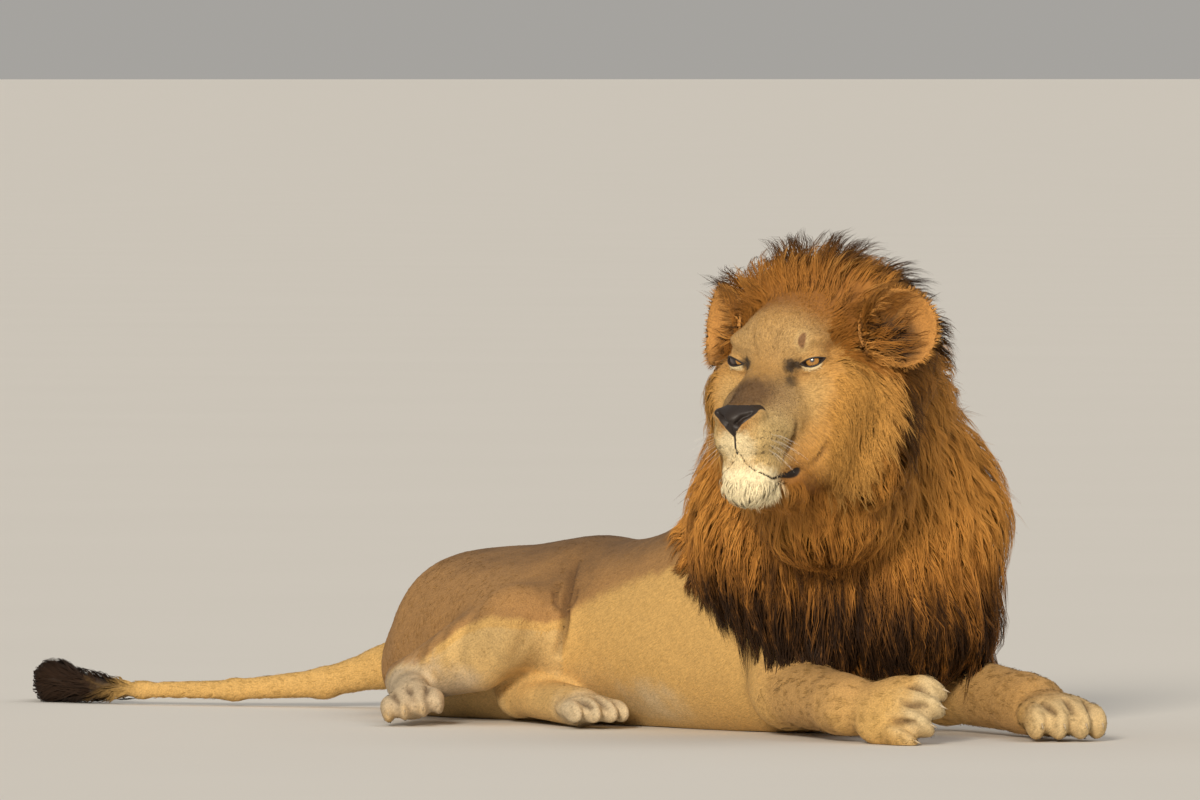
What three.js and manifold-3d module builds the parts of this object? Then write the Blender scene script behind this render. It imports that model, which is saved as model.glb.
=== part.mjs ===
// An adult male lion lying down, alert, as a life-size still model.
//
// Millimetres, +Z up. +X runs along the spine from the hips to the shoulders, +Y is the
// lion's left, and the floor is Z = 0. The chest is nearly upright, the hips are rolled
// over to the left, and the head is turned to the lion's right.
//
// Each part of the body is a form: a distance function made of tapered limbs and ovals
// that run smoothly into each other, measured out to the tips of the coat. wrap() turns
// a form into a closed mesh by standing rings along the part's own spine.

import * as THREE from 'three';
import { mergeVertices } from 'three/addons/utils/BufferGeometryUtils.js';
import Module from 'manifold-3d';

const wasm = await Module();
wasm.setup();

// ---- driving dimensions ----------------------------------------------------------------

const GAP = 0.4; // between two pieces that meet
const FLOOR_SNAP = 0.3; // points as near to the floor as this lie on it
const HEAD_TURN = THREE.MathUtils.degToRad(-66); // of the face from +X, about +Z
const EYE_LINE = new THREE.Vector3(720, -364, 554); // midway between the eyes
const EYE_SPREAD = 57; // from the middle of the face to each eye
const EYE_RADIUS = 19;
const EYE_DEPTH = 0; // of an eye's middle, ahead of the eye line
const FACE_BACK = 0.39; // share of the head's length where the mane round the face begins
const EAR_AHEAD = -95; // of the ears' middles, behind the eye line
const EAR_SPREAD = 150;
const EAR_UP = 49;
const EAR_RADIUS = 53;
const EAR_DEPTH = 52;
const EAR_WALL = 9;
const EAR_SIDES = 10; // faces round each ear

const SIDES = { right: -1, left: 1 };
const PAW_WIDTH = { fore: 128, hind: 104 };
const TOE = { length: 34, width: 0.14, height: 0.36, dip: 8, innerBack: -30, outerBack: -44,
  spread: [-0.36, -0.13, 0.13, 0.36] }; // width, height and spread are shares of the paw's
const HEAD_SIDES = 20; // faces round the head and the mane behind it, which share a plane
const TRUNK_PLANES = [-300, 40]; // rump to loin, loin to chest
const WRIST = 0.6; // share of the foreleg from the elbow to the toes
const FOOT_PLANE = 0.56; // share of the hind foot from the hock to the toes

// The trunk's sections: place of the middle, half width, half depth and roll to the left.
const TRUNK = [
  { x: -655, y: 58, z: 102, width: 60, depth: 62, roll: 60 },
  { x: -605, y: 52, z: 107, width: 74, depth: 116, roll: 60 },
  { x: -510, y: 42, z: 117, width: 108, depth: 146, roll: 60 },
  { x: -390, y: 28, z: 122, width: 128, depth: 158, roll: 58 },
  { x: -250, y: 12, z: 129, width: 140, depth: 160, roll: 52 },
  { x: -170, y: 5, z: 131, width: 146, depth: 158, roll: 46 },
  { x: -90, y: 0, z: 130, width: 144, depth: 152, roll: 42 },
  { x: 60, y: 0, z: 140, width: 162, depth: 160, roll: 30 },
  { x: 210, y: 0, z: 180, width: 172, depth: 200, roll: 20 },
  { x: 360, y: 0, z: 212, width: 172, depth: 222, roll: 15 },
  { x: 480, y: 0, z: 210, width: 150, depth: 190, roll: 12 },
  { x: 560, y: 0, z: 200, width: 80, depth: 110, roll: 12 },
];

const COLOURS = {
  coat: 0xb08a55,
  rump: 0x97774d,
  pale: 0xc9a970,
  face: 0xb9935a,
  mane: 0x6e4a26,
  crown: 0xa8702f,
  tuft: 0x2e2118,
  nose: 0x1d1512,
  eye: 0xb8741f,
};

// ---- forms -----------------------------------------------------------------------------

const v = (x, y, z) => new THREE.Vector3(x, y, z);

/** A limb that tapers from one ball to another. */
function limb(a, b, ra, rb) {
  const axis = b.clone().sub(a);
  const length2 = axis.lengthSq();
  const rr = ra - rb;
  const a2 = length2 - rr * rr;
  const q = new THREE.Vector3();
  const c = new THREE.Vector3();
  return (p) => {
    q.subVectors(p, a);
    const y = q.dot(axis);
    const z = y - length2;
    c.copy(q).multiplyScalar(length2).addScaledVector(axis, -y);
    const x2 = c.lengthSq();
    const y2 = y * y * length2;
    const z2 = z * z * length2;
    const k = Math.sign(rr) * rr * rr * x2;
    if (Math.sign(z) * a2 * z2 > k) return Math.sqrt(x2 + z2) / length2 - rb;
    if (Math.sign(y) * a2 * y2 < k) return Math.sqrt(x2 + y2) / length2 - ra;
    return (Math.sqrt(x2 * a2 / length2) + y * rr) / length2 - ra;
  };
}

/** An oval with its own half lengths, turned by yaw, pitch and roll in degrees. */
function oval(centre, radii, yaw = 0, pitch = 0, roll = 0) {
  const turn = new THREE.Matrix4().makeRotationFromEuler(new THREE.Euler(
    ...[roll, pitch, yaw].map(THREE.MathUtils.degToRad), 'ZYX')).invert();
  const q = new THREE.Vector3();
  return (p) => {
    q.subVectors(p, centre).applyMatrix4(turn);
    const k0 = Math.hypot(q.x / radii.x, q.y / radii.y, q.z / radii.z);
    const k1 = Math.hypot(q.x / radii.x ** 2, q.y / radii.y ** 2, q.z / radii.z ** 2);
    return k1 > 0 ? k0 * (k0 - 1) / k1 : -Math.min(radii.x, radii.y, radii.z);
  };
}

/** Forms run together, with a fillet about as wide as soft. */
const blend = (soft, ...forms) => (p) => forms.reduce((near, form) => {
  const far = form(p);
  const h = Math.max(soft - Math.abs(near - far), 0) / soft;
  return Math.min(near, far) - h * h * soft / 4;
}, 1e6);

/** A form that rests on the floor: nothing of it is lower than Z = 0. */
const grounded = (form) => (p) => Math.max(form(p), -p.z);

/** The same form on both sides of the head. */
const paired = (centre, radii, ...angles) => [-1, 1].map((side) => oval(
  v(centre.x, side * centre.y, centre.z), radii, side * (angles[0] ?? 0), angles[1] ?? 0,
  side * (angles[2] ?? 0)));

/** The trunk: sections that change smoothly along X. */
function trunkForm(p) {
  const last = TRUNK.length - 1;
  let i = 0;
  while (i < last - 1 && p.x > TRUNK[i + 1].x) i += 1;
  const here = TRUNK[i];
  const next = TRUNK[i + 1];
  const t = THREE.MathUtils.clamp((p.x - here.x) / (next.x - here.x), 0, 1);
  const before = TRUNK[Math.max(i - 1, 0)];
  const after = TRUNK[Math.min(i + 2, last)];
  const at = (key) => {
    const slopeHere = (next[key] - before[key]) / (next.x - before.x);
    const slopeNext = (after[key] - here[key]) / (after.x - here.x);
    const run = next.x - here.x;
    const t2 = t * t;
    const t3 = t2 * t;
    return here[key] * (2 * t3 - 3 * t2 + 1) + next[key] * (3 * t2 - 2 * t3)
      + run * (slopeHere * (t3 - 2 * t2 + t) + slopeNext * (t3 - t2));
  };
  const roll = THREE.MathUtils.degToRad(at('roll'));
  const y = p.y - at('y');
  const z = p.z - at('z');
  const across = y * Math.cos(roll) - z * Math.sin(roll);
  const along = y * Math.sin(roll) + z * Math.cos(roll);
  const over = Math.max(TRUNK[0].x - p.x, p.x - TRUNK[last].x, 0);
  const width = at('width');
  const depth = at('depth');
  const small = Math.min(width, depth);
  return (Math.hypot(across / width, along / depth, over / (0.5 * small)) - 1) * small;
}

// ---- meshes ----------------------------------------------------------------------------

const REACH_FROM = 520; // farther out than any form's surface
const REACH_LEAST = 0.5;
const REACH_STEPS = 200;
const REACH_NEAR = 0.05; // as close to the surface as it looks
const REACH_CAUTION = 0.6; // share of the measured distance that one step takes
const END_CLOSE = 0.75; // how near the last ring of a round end comes to its pole

/** Distance from a point inside a form out to its surface, looking along a direction. */
function reach(form, from, direction) {
  const p = new THREE.Vector3();
  const value = (t) => form(p.copy(from).addScaledVector(direction, t));
  let t = REACH_FROM;
  for (let step = 0; step < REACH_STEPS; step += 1) {
    const distance = value(t);
    if (distance < REACH_NEAR || t <= REACH_LEAST) break;
    t -= Math.max(distance * REACH_CAUTION, REACH_NEAR);
  }
  return Math.max(t, REACH_LEAST);
}

/** Rings stood along a spine, out to the form's surface, closed by round or flat ends. */
function wrap(form, spine, { sides, rings, from = 0, to = 1, ends = ['round', 'round'],
  up = v(0, 0, 1), endRings = 3 }) {
  const curve = spine.length > 2 ? new THREE.CatmullRomCurve3(spine, false, 'centripetal')
    : new THREE.LineCurve3(spine[0], spine[1]);
  const stations = [];
  for (let i = 0; i <= rings; i += 1) {
    const t = from + (to - from) * i / rings;
    stations.push({ centre: curve.getPointAt(t), tangent: curve.getTangentAt(t) });
  }
  const poles = [];
  [[0, -1], [1, 1]].forEach(([which, sign]) => {
    const end = which ? stations[stations.length - 1] : stations[0];
    const outward = end.tangent.clone().multiplyScalar(sign);
    const length = ends[which] === 'round' ? reach(form, end.centre, outward) : 0;
    poles[which] = end.centre.clone().addScaledVector(outward, length);
    if (!length) return;
    for (let k = 1; k <= endRings; k += 1) {
      const share = Math.sin(k / (endRings + END_CLOSE) * Math.PI / 2);
      const extra = { centre: end.centre.clone().addScaledVector(outward, length * share),
        tangent: end.tangent };
      if (which) stations.push(extra);
      else stations.unshift(extra);
    }
  });
  const points = [poles[0], poles[1]];
  for (const { centre, tangent } of stations) {
    const side = new THREE.Vector3().crossVectors(up, tangent).normalize();
    const rise = new THREE.Vector3().crossVectors(tangent, side);
    for (let j = 0; j < sides; j += 1) {
      const angle = (j + 0.5) / sides * 2 * Math.PI;
      const ray = side.clone().multiplyScalar(Math.cos(angle))
        .addScaledVector(rise, Math.sin(angle));
      const point = centre.clone().addScaledVector(ray, reach(form, centre, ray));
      if (Math.abs(point.z) < FLOOR_SNAP) point.z = 0;
      points.push(point);
    }
  }
  const index = [];
  const at = (ring, j) => 2 + ring * sides + j % sides;
  const lastRing = stations.length - 1;
  for (let j = 0; j < sides; j += 1) {
    index.push(0, at(0, j + 1), at(0, j), 1, at(lastRing, j), at(lastRing, j + 1));
    for (let ring = 0; ring < lastRing; ring += 1) {
      index.push(at(ring, j), at(ring, j + 1), at(ring + 1, j + 1));
      index.push(at(ring, j), at(ring + 1, j + 1), at(ring + 1, j));
    }
  }
  const geometry = new THREE.BufferGeometry().setFromPoints(points);
  geometry.setIndex(index);
  return geometry;
}

/** A geometry with nothing but its shared points. */
function bareOf(geometry) {
  const bare = geometry.clone();
  bare.deleteAttribute('normal');
  bare.deleteAttribute('uv');
  return mergeVertices(bare, 1e-3);
}

/** A mesh as a solid that manifold-3d can cut. */
function solidOf(geometry) {
  const bare = bareOf(geometry);
  return new wasm.Manifold(new wasm.Mesh({ numProp: 3,
    vertProperties: Float32Array.from(bare.attributes.position.array),
    triVerts: Uint32Array.from(bare.index.array) }));
}

/** A solid as a mesh, with the coordinates of its shared points. */
function geometryOf(solid) {
  const mesh = solid.getMesh();
  const geometry = new THREE.BufferGeometry();
  geometry.setAttribute('position', new THREE.BufferAttribute(mesh.vertProperties, 3));
  geometry.setIndex(new THREE.BufferAttribute(mesh.triVerts, 1));
  return geometry;
}

/** Outward directions of a mesh's points, each face weighed by its corner's angle. */
function outwardOf(geometry) {
  const { position } = geometry.attributes;
  const points = Array.from({ length: position.count },
    (_, i) => new THREE.Vector3().fromBufferAttribute(position, i));
  const outward = points.map(() => new THREE.Vector3());
  for (let f = 0; f < geometry.index.count; f += 3) {
    const corners = [0, 1, 2].map((k) => geometry.index.getX(f + k));
    const normal = new THREE.Triangle(...corners.map((i) => points[i]))
      .getNormal(new THREE.Vector3());
    corners.forEach((i, k) => {
      const one = points[corners[(k + 1) % 3]].clone().sub(points[i]);
      const other = points[corners[(k + 2) % 3]].clone().sub(points[i]);
      outward[i].addScaledVector(normal, one.angleTo(other));
    });
  }
  return outward.map((direction) => direction.normalize());
}

/** The same geometry, grown outward by the gap that meeting pieces keep. */
function grown(geometry) {
  const bare = bareOf(geometry);
  const { position } = bare.attributes;
  outwardOf(bare).forEach((direction, i) => {
    const point = new THREE.Vector3().fromBufferAttribute(position, i);
    point.addScaledVector(direction, GAP);
    position.setXYZ(i, ...point);
  });
  return bare;
}

// The pieces in the order of who keeps the room where two would meet: each is carved by
// those before it.
const pieces = [];

/** Adds a named piece: a form's mesh, less the room of the pieces before it. */
function add(name, geometry, colour, roughness = 0.9) {
  geometry.computeBoundingBox();
  let solid = solidOf(geometry);
  for (const earlier of pieces) {
    if (earlier.whole.boundingBox.intersectsBox(geometry.boundingBox)) {
      solid = solid.subtract(earlier.cutter);
    }
  }
  const largest = solid.decompose().reduce((a, b) => (b.volume() > a.volume() ? b : a));
  const mesh = new THREE.Mesh(geometryOf(largest),
    new THREE.MeshStandardMaterial({ color: colour, roughness, metalness: 0 }));
  mesh.name = name;
  pieces.push({ mesh, whole: geometry, cutter: solidOf(grown(geometry)) });
}

// ---- head, in its own axes: +X to the nose, +Y to the lion's left, +Z up ----------------

const faceForm = blend(20,
  oval(v(-110, 0, 20), v(122, 96, 90)),
  oval(v(-28, 0, 26), v(76, 68, 60)),
  limb(v(0, 0, -22), v(104, 0, -84), 46, 34),
  oval(v(118, 0, -82), v(32, 31, 24), 0, 20),
  ...paired(v(88, 25, -104), v(49, 27, 36), 0, 12),
  ...paired(v(38, 36, -74), v(56, 34, 40), -14, 20),
  ...paired(v(-6, 50, 26), v(34, 30, 18), 0, 0, 14),
  ...paired(v(-52, 74, -56), v(80, 58, 70)),
  ...paired(v(-42, 56, -116), v(78, 50, 62)),
  limb(v(-40, 0, -130), v(78, 0, -150), 54, 42),
  oval(v(95, 0, -168), v(33, 40, 36)));

const crownForm = blend(40,
  oval(v(-178, 0, 14), v(88, 172, 146)),
  oval(v(-126, 0, 88), v(76, 156, 82)),
  ...paired(v(-118, 96, -88), v(70, 76, 124)),
  oval(v(-110, 0, -150), v(86, 108, 84)),
  oval(v(-8, 0, -172), v(96, 74, 52)));

const headForm = blend(20, faceForm, crownForm);

const noseForm = blend(16,
  oval(v(130, 0, -80), v(22, 24, 17), 0, 14),
  ...paired(v(122, 23, -76), v(18, 14, 12)));

/** One ear: an open cup, its rim up, out and forward, standing in the mane. */
function earGeometry(side) {
  const profile = [];
  const arcSteps = 5;
  for (let i = 0; i <= arcSteps; i += 1) {
    const angle = i / arcSteps * Math.PI / 2;
    profile.push(new THREE.Vector2(EAR_RADIUS * Math.sin(angle), -EAR_DEPTH * Math.cos(angle)));
  }
  for (let i = arcSteps; i >= 0; i -= 1) {
    const angle = i / arcSteps * Math.PI / 2;
    profile.push(new THREE.Vector2((EAR_RADIUS - EAR_WALL) * Math.sin(angle),
      -(EAR_DEPTH - EAR_WALL) * Math.cos(angle) + 2));
  }
  const cup = new THREE.LatheGeometry(profile, EAR_SIDES);
  const mouth = v(0.64, side * 0.76, 0.1).normalize();
  cup.applyQuaternion(new THREE.Quaternion().setFromUnitVectors(v(0, 1, 0), mouth));
  return cup.translate(EAR_AHEAD, side * EAR_SPREAD, EAR_UP);
}

/** One eyeball. */
function eyeGeometry(side) {
  return new THREE.SphereGeometry(EYE_RADIUS, 10, 7).translate(EYE_DEPTH, side * EYE_SPREAD, 0);
}

const headFrame = new THREE.Matrix4().makeRotationZ(HEAD_TURN).setPosition(EYE_LINE);
const onHead = (name, geometry, colour, roughness) => add(
  name, geometry.applyMatrix4(headFrame), colour, roughness);
const headSpine = [v(-200, 0, -20), v(-70, 0, -30), v(0, 0, -50), v(112, 0, -102)];

for (const [side, sign] of Object.entries(SIDES)) {
  onHead(`eye_${side}`, eyeGeometry(sign), COLOURS.eye, 0.1);
  onHead(`ear_${side}`, earGeometry(sign), COLOURS.crown);
}
onHead('nose_leather', wrap(noseForm, [v(118, 0, -79), v(134, 0, -80)],
  { sides: 12, rings: 1, endRings: 2 }), COLOURS.nose, 0.5);
onHead('head', wrap(headForm, headSpine, { sides: HEAD_SIDES, rings: 10, from: FACE_BACK,
  ends: ['flat', 'round'] }), COLOURS.face);
onHead('mane_crown', wrap(headForm, headSpine, { sides: HEAD_SIDES, rings: 3, to: FACE_BACK,
  ends: ['round', 'flat'], endRings: 2 }), COLOURS.crown);

// ---- legs ------------------------------------------------------------------------------

/** A paw: a pad with four toes spread across it, pointing along a yaw, rolled about it. */
function pawForm(heel, toes, { width, height, roll = 0 }) {
  const ahead = toes.clone().sub(heel);
  const reachAhead = ahead.length();
  const yaw = Math.atan2(ahead.y, ahead.x);
  const degrees = THREE.MathUtils.radToDeg(yaw);
  const turn = new THREE.Matrix4().makeRotationFromEuler(
    new THREE.Euler(THREE.MathUtils.degToRad(roll), 0, yaw, 'ZYX'));
  const across = v(0, 1, 0).applyMatrix4(turn);
  const forward = v(1, 0, 0).applyMatrix4(turn);
  const middle = heel.clone().lerp(toes, 0.5);
  const forms = [oval(middle, v(reachAhead * 0.52, width / 2, height / 2), degrees, 0, roll)];
  TOE.spread.forEach((share, i) => {
    const inner = i === 1 || i === 2;
    const tip = toes.clone().addScaledVector(across, share * width)
      .addScaledVector(forward, inner ? TOE.innerBack : TOE.outerBack);
    forms.push(oval(tip, v(TOE.length, width * TOE.width, height * TOE.height), degrees,
      TOE.dip, roll));
  });
  return blend(14, ...forms);
}

const FORELEGS = {
  right: { shoulder: v(450, -92, 210), elbow: v(432, -112, 66), wrist: v(668, -190, 52),
    toes: v(850, -176, 44), roll: 52, height: 84 },
  left: { shoulder: v(450, 122, 210), elbow: v(440, 178, 66), wrist: v(728, 112, 47),
    toes: v(893, 48, 28), roll: 0, height: 76 },
};
const HINDLEGS = {
  right: { hip: v(-430, -42, 134), knee: v(-142, -190, 136), hock: v(-330, -230, 60),
    toes: v(-152, -358, 29), seat: v(-518, -38, 74), thigh: [108, 62], roll: 10, height: 60 },
  left: { hip: v(-400, 74, 104), knee: v(-78, 132, 82), hock: v(-205, -118, 42),
    toes: v(114, -200, 26), seat: v(-500, 90, 80), thigh: [104, 72], roll: 0, height: 56 },
};

for (const [side, leg] of Object.entries(FORELEGS)) {
  const paw = pawForm(leg.wrist.clone().lerp(leg.toes, 0.12), leg.toes,
    { width: PAW_WIDTH.fore, height: leg.height, roll: leg.roll });
  const lower = grounded(blend(30, limb(leg.elbow, leg.wrist, 56, 46), paw));
  const spine = [leg.elbow, leg.wrist, leg.toes.clone().lerp(leg.wrist, 0.24)];
  const upper = grounded(limb(leg.shoulder, leg.elbow, 62, 60));
  add(`foreleg_${side}_paw`, wrap(lower, spine,
    { sides: 14, rings: 4, from: WRIST, ends: ['flat', 'round'] }), COLOURS.coat);
  add(`foreleg_${side}_forearm`, wrap(lower, spine,
    { sides: 10, rings: 3, to: WRIST, ends: ['round', 'flat'], endRings: 2 }), COLOURS.coat);
  add(`foreleg_${side}_upper_arm`, wrap(upper, [leg.shoulder, leg.elbow],
    { sides: 8, rings: 2, up: v(1, 0, 0), endRings: 2 }), COLOURS.coat);
}

for (const side of ['left', 'right']) {
  const leg = HINDLEGS[side];
  const ankle = leg.hock.clone().lerp(leg.toes, 0.7);
  const paw = pawForm(leg.hock.clone().lerp(leg.toes, 0.58), leg.toes,
    { width: PAW_WIDTH.hind, height: leg.height, roll: leg.roll });
  const foot = grounded(blend(24, limb(leg.hock, ankle, 36, 34), paw));
  const spine = [leg.hock, leg.toes.clone().lerp(leg.hock, 0.14)];
  const kneeInside = leg.knee.clone().add(v(0, 14 * -SIDES[side], 14));
  const kneeOutside = leg.knee.clone().add(v(0, 10 * SIDES[side], -6));
  const calf = kneeOutside.clone().lerp(leg.hock, 0.3).add(v(0, 0, -6));
  const shank = grounded(blend(30, limb(kneeOutside, leg.hock, 56, 34),
    limb(calf, leg.hock, 60, 27)));
  const thigh = grounded(blend(60, limb(leg.hip, kneeInside, ...leg.thigh),
    limb(leg.seat, leg.seat.clone().lerp(kneeInside, 0.5), 66, 56)));
  add(`hindleg_${side}_paw`, wrap(foot, spine,
    { sides: 12, rings: 3, from: FOOT_PLANE, ends: ['flat', 'round'] }), COLOURS.pale);
  add(`hindleg_${side}_metatarsus`, wrap(foot, spine,
    { sides: 10, rings: 2, to: FOOT_PLANE, ends: ['round', 'flat'], endRings: 2 }), COLOURS.pale);
  add(`hindleg_${side}_shank`, wrap(shank, [kneeOutside, leg.hock],
    { sides: 10, rings: 3, endRings: 2 }), COLOURS.pale);
  add(`hindleg_${side}_thigh`, wrap(thigh, [leg.hip.clone().lerp(leg.seat, 0.4), leg.hip,
    kneeInside], { sides: 11, rings: 4, endRings: 2 }), COLOURS.rump);
}

// ---- tail ------------------------------------------------------------------------------

const tailSpine = [v(-590, 62, 112), v(-690, 74, 96), v(-775, 58, 62), v(-860, 12, 37),
  v(-980, -70, 25), v(-1110, -150, 23), v(-1235, -182, 24), v(-1370, -140, 26)];
const tailThickness = [46, 43, 36, 28, 21, 18, 18, 12];
const tuftMiddle = v(-1280, -184, 30);
const tailForm = grounded(blend(20,
  ...tailThickness.slice(1).map((thickness, i) => limb(tailSpine[i], tailSpine[i + 1],
    tailThickness[i], thickness)),
  limb(v(-1190, -178, 26), tuftMiddle, 20, 32),
  limb(tuftMiddle, tailSpine[7], 32, 12)));
const TAIL_LENGTHS = { base: [0, 0.24], middle: [0.24, 0.47], end: [0.47, 0.7], tuft: [0.7, 1] };

for (const [name, [from, to]] of Object.entries(TAIL_LENGTHS)) {
  add(`tail_${name}`, wrap(tailForm, tailSpine, { sides: 9, rings: 4, from, to,
    ends: [from > 0 ? 'flat' : 'round', to < 1 ? 'flat' : 'round'] }),
  name === 'tuft' ? COLOURS.tuft : COLOURS.coat);
}

// ---- neck in its mane, and trunk -------------------------------------------------------

const maneForm = grounded(blend(50,
  oval(v(430, 0, 300), v(222, 252, 212)),
  limb(v(600, -150, 560), v(430, 0, 330), 150, 212),
  oval(v(455, 22, 172), v(188, 204, 128)),
  limb(v(560, -110, 540), v(300, 8, 340), 130, 140),
  oval(v(620, -200, 380), v(120, 140, 130))));

add('neck', wrap(maneForm,
  [v(452, 12, 150), v(455, 0, 300), v(520, -70, 430), v(590, -140, 545)],
  { sides: 16, rings: 6, up: v(1, 0, 0), endRings: 2 }), COLOURS.mane);

const trunkAt = (x) => v(x, 0, 120);
const TRUNK_LENGTHS = {
  chest: { from: TRUNK_PLANES[1], to: 480, ends: ['flat', 'round'] },
  loin: { from: TRUNK_PLANES[0], to: TRUNK_PLANES[1], ends: ['flat', 'flat'] },
  rump: { from: -640, to: TRUNK_PLANES[0], ends: ['round', 'flat'] },
};

for (const [name, { from, to, ends }] of Object.entries(TRUNK_LENGTHS)) {
  add(`trunk_${name}`, wrap(grounded(trunkForm), [trunkAt(from), trunkAt(to)],
    { sides: 14, rings: 4, ends, endRings: 2 }), name === 'rump' ? COLOURS.rump : COLOURS.coat);
}

// ---- the whole lion, its box's bottom middle at the origin ------------------------------

const body = new THREE.Group();
for (const { mesh } of pieces) body.add(mesh);
const box = new THREE.Box3().setFromObject(body, true);
const middle = box.getCenter(new THREE.Vector3());
body.position.set(-middle.x, -middle.y, -box.min.z);

const lion = new THREE.Group();
lion.add(body);
export default lion;
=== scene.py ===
"""A grown male lion lying down, life size: one skin, its eyes, claws and whiskers, and its coat.

Shapes are worked out in millimetres in the body's own axes: +X from hips to shoulders, +Y to the
lion's left, +Z up, the floor at Z = 0. Places on the head have axes of their own: +X to the nose,
+Y to the lion's left, +Z up, from midway between the eyes. to_frame() gives the frame's metres.
"""
import sys

import logging
import math
import time
from dataclasses import dataclass, field
from enum import Enum
from typing import Callable, Protocol

import bpy
import numpy as np
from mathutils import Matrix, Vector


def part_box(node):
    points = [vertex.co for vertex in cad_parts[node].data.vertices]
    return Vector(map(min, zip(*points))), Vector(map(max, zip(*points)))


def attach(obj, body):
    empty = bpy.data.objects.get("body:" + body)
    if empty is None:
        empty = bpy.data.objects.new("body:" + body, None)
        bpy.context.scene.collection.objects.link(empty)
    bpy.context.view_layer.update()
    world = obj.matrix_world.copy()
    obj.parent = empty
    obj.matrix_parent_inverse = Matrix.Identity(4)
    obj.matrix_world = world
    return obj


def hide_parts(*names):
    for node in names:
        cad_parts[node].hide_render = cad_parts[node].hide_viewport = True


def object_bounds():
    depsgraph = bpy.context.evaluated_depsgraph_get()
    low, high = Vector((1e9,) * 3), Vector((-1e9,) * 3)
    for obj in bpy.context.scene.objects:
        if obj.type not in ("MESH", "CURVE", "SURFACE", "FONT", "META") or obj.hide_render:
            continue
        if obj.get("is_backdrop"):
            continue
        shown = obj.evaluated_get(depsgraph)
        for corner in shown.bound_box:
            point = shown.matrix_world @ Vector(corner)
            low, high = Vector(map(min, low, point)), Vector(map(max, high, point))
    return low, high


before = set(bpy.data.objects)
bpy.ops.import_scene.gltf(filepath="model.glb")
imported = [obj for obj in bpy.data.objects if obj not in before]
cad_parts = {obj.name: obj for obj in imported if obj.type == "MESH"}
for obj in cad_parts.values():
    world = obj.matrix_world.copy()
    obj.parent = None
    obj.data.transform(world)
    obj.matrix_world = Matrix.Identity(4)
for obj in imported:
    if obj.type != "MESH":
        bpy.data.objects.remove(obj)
CAD_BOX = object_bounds()

Array = np.ndarray
Vec = tuple[float, float, float]
Line = tuple[tuple[float, ...], ...]
Material = bpy.types.Material
Node = bpy.types.Node
Socket = bpy.types.NodeSocket
Sockets = bpy.types.bpy_prop_collection
Tree = bpy.types.NodeTree
log = logging.getLogger("lion")

MM = 0.001
# The head: the place midway between the eyes, the head's turn and the eyes' own sizes.
EYE_LINE = np.array([720.0, -364.0, 554.0])
HEAD_TURN = math.radians(-66.0)
HEAD_AXES = np.array([[math.cos(HEAD_TURN), -math.sin(HEAD_TURN), 0.0],
                      [math.sin(HEAD_TURN), math.cos(HEAD_TURN), 0.0],
                      [0.0, 0.0, 1.0]])
EYE_SPREAD = 57.0
EYE_RADIUS = 19.0
EYE_YAW = math.radians(24.0)
EYE_TILT = math.radians(14.0)
SIDES = {"right": -1.0, "left": 1.0}
UP = np.array([0.0, 0.0, 1.0])
# The way along the body and across it on the upright plane that side_on() looks at.
SIDE_PLANE = (0.6157, 0.788)
# How low the mane grows on the trunk, and the place that bearings round the neck start from.
MANE_LOW = 215.0
NECK_X, NECK_Y = 480.0, -40.0
# A part is measured only this near to its forms, and is taken to be FAR away elsewhere.
CULL = 120.0
FAR = 400.0
# How far above the floor the skin rests.
FLOOR_REST = 0.6
SEED = 20


def middle_of(node: str) -> Array:
    """The middle of a CAD node's box, in the frame's metres."""
    low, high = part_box(node)
    return (np.array(low) + np.array(high)) / 2


# Where the body's own zero lies in the frame, worked out from the frame's eyes.
SHIFT = (middle_of("eye_right") + middle_of("eye_left")) / 2 - EYE_LINE * MM


# ---- places ---------------------------------------------------------------------------------

def to_frame(points: Array) -> Array:
    """Body millimetres as the frame's metres."""
    return points * MM + SHIFT


def to_head(points: Array) -> Array:
    """Body places as head places, both in millimetres."""
    return (points - EYE_LINE) @ HEAD_AXES


def from_head(places: Array) -> Array:
    """Head places as body places, both in millimetres."""
    return EYE_LINE + places @ HEAD_AXES.T


def one_sided(places: Array) -> Array:
    """Head places, with those on the right moved across to the left."""
    return np.stack([places[:, 0], np.abs(places[:, 1]), places[:, 2]], 1)


def unit(vectors: Array) -> Array:
    """Vectors at length one, with none divided by nothing."""
    return vectors / np.maximum(np.linalg.norm(vectors, axis=-1, keepdims=True), 1e-9)


def ease(values: Array, low: float, high: float) -> Array:
    """A smooth rise from 0 at low to 1 at high."""
    t = np.clip((values - low) / (high - low), 0.0, 1.0)
    return t * t * (3.0 - 2.0 * t)


def bell(values: Array, width: float | Array) -> Array:
    """1 at 0, falling away over a width on both sides."""
    return np.exp(-(values / width) ** 2)


def oval_gap(places: Array, centre: Vec, radii: Vec) -> Array:
    """How far places are from an oval's middle, where 1 is its edge."""
    return np.linalg.norm((places - np.array(centre)) / np.array(radii), axis=1)


def smooth_least(near: Array, far: Array, soft: float) -> Array:
    """The lesser of two distances, rounded where they are about alike.

    Args:
        near: one distance for each place.
        far: other distances for them.
        soft: how wide the rounding is.

    Returns:
        The lesser of each two.
    """
    if soft <= 0.0:
        return np.minimum(near, far)
    h = np.maximum(soft - np.abs(near - far), 0.0) / soft
    return np.minimum(near, far) - h * h * soft / 4.0


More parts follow.
